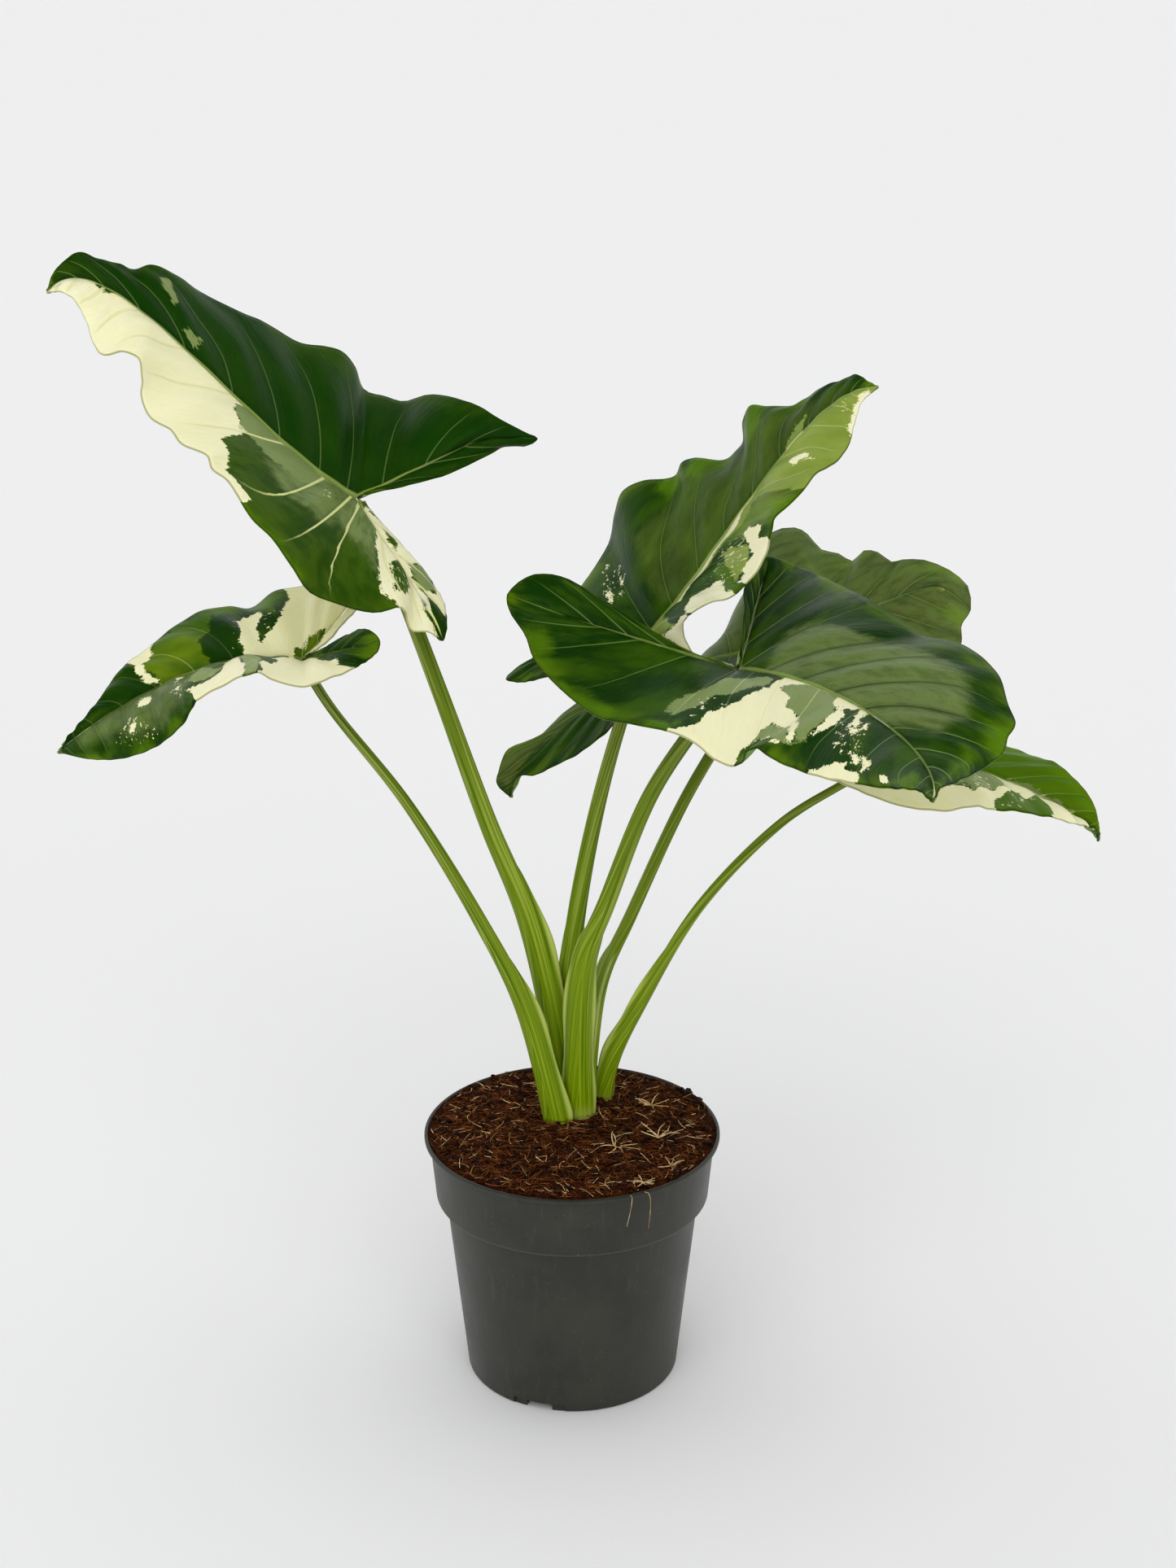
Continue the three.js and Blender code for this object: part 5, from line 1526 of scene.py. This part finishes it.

# %% [markdown]
# ## Pot plastic
#
# Recycled polypropylene: dark grey-green, satin, with faint vertical wiping marks, a film of dust that
# lightens it in patches, and small dark splashes of soil. A painted highlight lightens the band's lower
# edge and painted shade darkens the wall just under it, so two steps follow the height, which no noise
# could place.

# %% Mix the pot finish
def pot_finish():
    """Dusty plastic, with a painted highlight on the band's lower edge and painted shade under it."""
    mix = Finish("recycled_plastic")
    spot = mix.place()
    film = mix.noise(spot, 22, 4, 0.6)
    wiped = mix.noise(mix.stretch(spot, 1, 1, 0.12), 240, 3, 0.6)
    specks = mix.noise(spot, 620, 1)
    splashes = mix.noise(spot, 95, 3, 0.7)
    colour = mix.blend(mix.step(film, 0.35, 0.7), paint(46, 48, 41), paint(58, 59, 51))
    colour = mix.blend(mix.step(wiped, 0.55, 0.8, 0, 0.35), colour, paint(78, 79, 69))
    colour = mix.blend(mix.step(specks, 0.70, 0.76, 0, 0.25), colour, paint(120, 118, 106))
    colour = mix.blend(mix.step(splashes, 0.73, 0.76, 0, 0.8), colour, paint(28, 22, 16))
    height = mix.parts(spot)[2]
    # Painted shade: the wall is darkened in the few millimetres just under the band's overhang.
    painted_shade_under_band = mix.times(mix.step(height, (BAND_FOOT_Z - 3.5) * MM, (BAND_FOOT_Z - 0.5) * MM),
                           mix.step(height, (BAND_FOOT_Z + 0.4) * MM, BAND_FOOT_Z * MM, 0, 0.6))
    colour = mix.blend(painted_shade_under_band, colour, paint(20, 21, 17))
    # Painted highlight: a light line along the band's lower edge, up to about 2 mm above it.
    painted_highlight_on_band_edge = mix.times(mix.step(height, BAND_FOOT_Z * MM, (BAND_FOOT_Z + 0.6) * MM),
                          mix.step(height, (BAND_FOOT_Z + 1.8) * MM, (BAND_FOOT_Z + 0.8) * MM, 0, 0.4))
    colour = mix.blend(painted_highlight_on_band_edge, colour, paint(92, 94, 82))
    tooth = mix.noise(spot, 1500, 2)
    normal = mix.bump(wiped, 0.00025, 0.25, mix.bump(tooth, 0.00008, 0.35))
    return mix.done(colour, mix.step(film, 0.3, 0.75, 0.36, 0.5), normal, 0.45)


install(pot, pot_finish(), "pot")

# %% [markdown]
# ## Potting mix
#
# The pot is filled to the brim with coir and peat, slightly mounded round the stalks. A spun solid
# gives the bed; its top is made dense and pushed about by several sizes of noise, because the crumbs
# there are only a few millimetres across, too small for modelled lumps and too coarse for bump alone.
# Its colour is a red-brown ground, with near-black painted shade in the pits of its fine bump.

# %% Spin and roughen the bed
MIX_FLOOR_Z, MIX_EDGE_Z, MIX_CROWN_Z = 4, 165, 167.4
MIX_GAP = 0.2
BED_CENTRE, BED_RINGS, BED_STEPS = 0.4, 80, 230
HOLLOW_DEPTH, HOLLOW_REACH = 1.5, 13
ROUGH_FROM = MIX_EDGE_Z - 1.5


def inner_radius(z):
    """How far out the mix reaches at a height, just inside the pot's wall."""
    if z > BAND_FOOT_Z + 2:
        share = (z - BAND_FOOT_Z) / (LIP_FOOT - BAND_FOOT_Z)
        return BAND_FOOT_RADIUS + (BAND_TOP_RADIUS - BAND_FOOT_RADIUS) * share - WALL - MIX_GAP
    return body_radius(z) - WALL - MIX_GAP - 0.3


rim_radius = LIP_RADIUS - RIM_THICK - MIX_GAP


def mound_z(radius):
    """The height of the smooth mound, this far from the middle."""
    return MIX_CROWN_Z + (MIX_EDGE_Z - MIX_CROWN_Z) * (radius / rim_radius) ** 2


ring = np.linspace(rim_radius, BED_CENTRE, BED_RINGS)
top = np.stack([ring, mound_z(ring)], 1)
wall = np.array([
    (BED_CENTRE, MIX_FLOOR_Z), (inner_radius(6), MIX_FLOOR_Z), (inner_radius(BAND_FOOT_Z), BAND_FOOT_Z - 1),
    (inner_radius(BAND_FOOT_Z), BAND_FOOT_Z + 3), (inner_radius(BAND_FOOT_Z + 4), BAND_FOOT_Z + 4),
    (inner_radius(LIP_FOOT - 2), LIP_FOOT - 2),
])
bed = spun("soil_bed", np.vstack([wall, top]), BED_STEPS)


def lump(point, size, seed):
    """Noise of one lump size at a point in metres, from minus one to one."""
    return noise.noise(Vector(point) / (size * MM) + Vector((seed, 2 * seed, 3 * seed)))


def roughness_at(point):
    """Millimetres up: clods, crumbs of 5 mm and sharp grains of 2 mm."""
    return 0.9 * lump(point, 14, 1) + 1.1 * lump(point, 5, 2) + 0.7 * abs(lump(point, 2.2, 3)) * 2


stalk_feet = [np.array(leaf["stalk"][1]) for leaf in LEAVES.values()]
for vertex in bed.data.vertices:
    if vertex.co.z > ROUGH_FROM * MM:
        near = min(math.hypot(vertex.co.x / MM - foot[0], vertex.co.y / MM - foot[1]) for foot in stalk_feet)
        hollow = HOLLOW_DEPTH * math.exp(-((near / HOLLOW_REACH) ** 2))
        vertex.co.z += (roughness_at(vertex.co) - hollow) * MM
only(bed)
bpy.ops.object.shade_smooth()
print("the bed's crown is", round(max(vertex.co.z for vertex in bed.data.vertices) / MM, 1), "mm up")


# %% Mix the bed's finish
def coir_finish():
    """Damp coir: red-brown clods, two directions of threads and near-black painted shade in the pits."""
    mix = Finish("moist_coir")
    spot = mix.place()
    clods = mix.noise(spot, 230, 4, 0.7)
    grit = mix.noise(spot, 900, 3, 0.7)
    threads = mix.noise(mix.stretch(spot, 1, 0.22), 1400, 2, 0.6)
    cross_threads = mix.noise(mix.stretch(spot, 0.2, 1), 1200, 2, 0.6)
    colour = mix.blend(mix.step(clods, 0.35, 0.65), paint(22, 9, 5), paint(78, 38, 15))
    colour = mix.blend(mix.step(threads, 0.6, 0.72, 0, 0.8), colour, paint(118, 62, 26))
    colour = mix.blend(mix.step(cross_threads, 0.62, 0.74, 0, 0.7), colour, paint(150, 98, 48))
    # Painted shade: near-black where the grit bump sinks into pits.
    colour = mix.blend(mix.step(grit, 0.4, 0.25, 0, 0.8), colour, paint(12, 6, 4))
    return mix.done(colour, 0.85, mix.bump(grit, 0.0012, 0.9, mix.bump(threads, 0.0005, 0.6)), 0.08)


install(bed, coir_finish(), "potting_mix")

# %% [markdown]
# ## Loose fibres, straw and crumbs
#
# What makes the surface read as coir is the litter on it: thousands of fine curved fibres, pale straw
# bits, tufts of them, and dark crumbs. A hair system could grow them, but it wouldn't lay them down.
# Each kind is modelled once with few faces, and its copies are turned, bent and scaled by seeded chance
# and merged into one piece that lies on the bed.

# %% Model one fibre and one crumb
FIBRE_SEGMENTS = 5
CRUMB_DENTS = 0.45


def take_shape(piece):
    """The points and triangles of a template, which is then removed."""
    points = np.array([vertex.co for vertex in piece.data.vertices])
    faces = [list(face.vertices) for face in piece.data.polygons]
    bpy.data.objects.remove(piece)
    return points, faces


def template_fibre(segments):
    """A thin three-sided rod along X, one unit long, cut into segments so that it can bend."""
    bpy.ops.mesh.primitive_cylinder_add(vertices=3, radius=1, depth=1, rotation=(0, math.pi / 2, 0))
    rod = bpy.context.object
    only(rod)
    bpy.ops.object.transform_apply(rotation=True)
    with edit_mode(rod):
        for cut in range(1, segments):
            bpy.ops.mesh.select_all(action="SELECT")
            bpy.ops.mesh.bisect(plane_co=(cut / segments - 0.5, 0, 0), plane_no=(1, 0, 0))
        bpy.ops.mesh.select_all(action="SELECT")
        bpy.ops.mesh.quads_convert_to_tris()
    return take_shape(rod)


def template_crumb():
    """A small ball, dented by noise."""
    bpy.ops.mesh.primitive_ico_sphere_add(subdivisions=2, radius=1)
    crumb = bpy.context.object
    for vertex in crumb.data.vertices:
        vertex.co *= 1 + CRUMB_DENTS * noise.noise(vertex.co * 1.3)
    return take_shape(crumb)


def merged(name, shapes):
    """One mesh from many (points, faces) shapes."""
    points, faces, start = [], [], 0
    for shape_points, shape_faces in shapes:
        points.append(shape_points)
        faces += [[start + k for k in face] for face in shape_faces]
        start += len(shape_points)
    mesh = bpy.data.meshes.new(name)
    mesh.from_pydata(np.vstack(points).tolist(), [], faces)
    mesh.update()
    piece = bpy.data.objects.new(name, mesh)
    bpy.context.scene.collection.objects.link(piece)
    return piece


FIBRE, CRUMB = template_fibre(FIBRE_SEGMENTS), template_crumb()
print("a fibre has", len(FIBRE[1]), "faces, a crumb", len(CRUMB[1]))

# %% Lay one fibre or one crumb on the bed
chance = np.random.default_rng(11)
CLEAR_OF_STALKS = 7
FULL_TURN = 6.28


def bed_height(x, y):
    """The height of the rough surface, in millimetres."""
    z = mound_z(min(math.hypot(x, y), rim_radius))
    return z + roughness_at(Vector((x, y, z)) * MM)


def strand(place, length, thick, heading, lift, bend, droop=0.0):
    """A fibre laid at a place: curved in plan by bend, its end raised by lift or lowered by droop."""
    points = FIBRE[0] * [1, thick, thick]
    t = points[:, 0] + 0.5
    curve = bend * (t - t * t) * 4
    taper = 1 - 0.5 * t
    x = t * length
    y = curve * length * 0.5 + points[:, 1] * taper
    arch = 0.2 * np.sin(np.pi * t) * abs(bend)
    z = (lift * t + arch) * length - droop * t * t * length + points[:, 2] * taper
    plan = np.stack([x * math.cos(heading) - y * math.sin(heading),
                     x * math.sin(heading) + y * math.cos(heading), z], 1)
    return (plan + place) * MM, FIBRE[1]


def crumb(x, y, size, sink=0.25):
    """A crumb turned and squeezed by chance; its middle stands a share of its size above the bed."""
    turn = chance.random() * FULL_TURN
    spin = np.array([[math.cos(turn), -math.sin(turn), 0], [math.sin(turn), math.cos(turn), 0], [0, 0, 1]])
    shape = CRUMB[0] * (size * chance.uniform(0.6, 1.1, 3)) @ spin.T
    return (shape + [x, y, bed_height(x, y) + size * sink]) * MM, CRUMB[1]


def random_spot(reach):
    """A chance place on the bed, as likely anywhere, that keeps clear of the stalks."""
    while True:
        radius, turn = reach * math.sqrt(chance.random()), chance.random() * 2 * math.pi
        x, y = radius * math.cos(turn), radius * math.sin(turn)
        if min(math.hypot(x - foot[0], y - foot[1]) for foot in stalk_feet) > CLEAR_OF_STALKS:
            return x, y


print("the bed is", round(bed_height(0, 0), 1), "mm up in the middle")

# %% Scatter them over the bed
FIBRES, STRAWS, CRUMBS = 2400, 300, 420
TUFTS = [(27, -28, 15), (55, -16, 13), (52, 30, 10), (62, -50, 9), (44, -72, 8)]  # x, y, length
TUFT_STRANDS, TUFT_THICKNESS = 9, 0.52
OVER_THE_RIM = [(36, -1.75, 13), (45, -1.45, 15)]  # x, heading, length
CRUMBS_AT_RIM = [(22, 39, 16, 2.6), (122, 127, 4, 1.8)]  # first and last angle, count, biggest size


def scatter_strands(count, lengths, thicknesses, lifts, bends):
    """Strands by chance; one that would stick out over the rim is turned round."""
    shapes = []
    for _ in range(count):
        x, y = random_spot(rim_radius - 3)
        heading = chance.random() * 2 * math.pi
        length = chance.uniform(*lengths)
        ahead = math.hypot(x + length * math.cos(heading), y + length * math.sin(heading))
        if ahead > rim_radius - 1:
            heading += math.pi
        shapes.append(strand((x, y, bed_height(x, y) + 0.2), length, chance.uniform(*thicknesses), heading,
                             chance.uniform(*lifts), chance.uniform(*bends)))
    return shapes


fibres = scatter_strands(FIBRES, (4, 15), (0.1, 0.26), (-0.05, 0.22), (-0.7, 0.7))
straws = scatter_strands(STRAWS, (3, 12), (0.16, 0.42), (0.0, 0.3), (-0.25, 0.25))
for x, y, length in TUFTS:
    for _ in range(TUFT_STRANDS):
        turn = chance.uniform(0, 2 * math.pi)
        reach = length * chance.uniform(0.6, 1.2)
        straws.append(strand((x, y, bed_height(x, y) + 0.5), reach, TUFT_THICKNESS, turn,
                             chance.uniform(0.05, 0.4), chance.uniform(-0.3, 0.3)))
for x, heading, length in OVER_THE_RIM:
    y = -math.sqrt((LIP_RADIUS + 0.4) ** 2 - x * x)
    straws.append(strand((x, y, POT_HEIGHT + 0.3), length, thick=0.25, heading=heading, lift=0.5, bend=0.3,
                         droop=1.6))
crumbs = [crumb(*random_spot(rim_radius - 4), chance.uniform(0.7, 2.4)) for _ in range(CRUMBS)]
for first, last, count, biggest in CRUMBS_AT_RIM:
    for _ in range(count):
        turn = math.radians(chance.uniform(first, last))
        out = chance.uniform(LIP_RADIUS - 6, LIP_RADIUS - 1)
        crumbs.append(crumb(out * math.cos(turn), out * math.sin(turn), chance.uniform(1, biggest), 0.6))
print("scattered", len(fibres), "fibres,", len(straws), "straws and", len(crumbs), "crumbs")


# %% Colour the litter and merge each kind
def thread_finish(name, low, high, scale):
    """A dull fibrous stuff between two colours."""
    mix = Finish(name)
    grain = mix.noise(mix.place(), scale, 3, 0.6)
    dull = mix.noise(mix.place(), scale * 4, 2)
    colour = mix.blend(mix.step(grain, 0.35, 0.65), low, high)
    return mix.done(colour, mix.step(dull, 0.3, 0.7, 0.6, 0.85), mix.bump(dull, 0.0001, 0.4), 0.3)


litter = [
    ("coir_fibres", fibres, thread_finish("coir_thread", paint(70, 34, 14), paint(158, 100, 50), 160)),
    ("straw_bits", straws, thread_finish("dry_straw", paint(182, 146, 96), paint(228, 208, 164), 220)),
    ("peat_crumbs", crumbs, thread_finish("dark_peat", paint(16, 8, 6), paint(58, 28, 16), 300)),
]
for name, shapes, material in litter:
    install(merged(name, shapes), material, None)

# %% [markdown]
# ## The corm
#
# The corm carries all the stalks. It lies buried in the mix and no camera sees it, so it isn't modelled
# anew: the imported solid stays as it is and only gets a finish, fibrous brown skin with rings of old
# leaf scars.

# %% Give the corm its skin
def corm_finish():
    """Brown skin with rings and hairs."""
    mix = Finish("corm_skin")
    spot = mix.place()
    rings = mix.noise(mix.stretch(spot, 1, 1, 6), 120, 3, 0.6)
    hairs = mix.noise(mix.stretch(spot, 5, 5, 0.6), 260, 3, 0.6)
    colour = mix.blend(mix.step(rings, 0.35, 0.65), paint(96, 64, 34), paint(158, 124, 78))
    colour = mix.blend(mix.step(hairs, 0.6, 0.75, 0, 0.7), colour, paint(70, 42, 22))
    return mix.done(colour, 0.8, mix.bump(rings, 0.001, 0.6, mix.bump(hairs, 0.0006, 0.6)), 0.3)


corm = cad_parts["corm"]
corm.data.materials.clear()
corm.data.materials.append(corm_finish())
print("the corm keeps its solid, with", corm.data.materials[0].name)

# %% Update the view layer
bpy.context.view_layer.update()
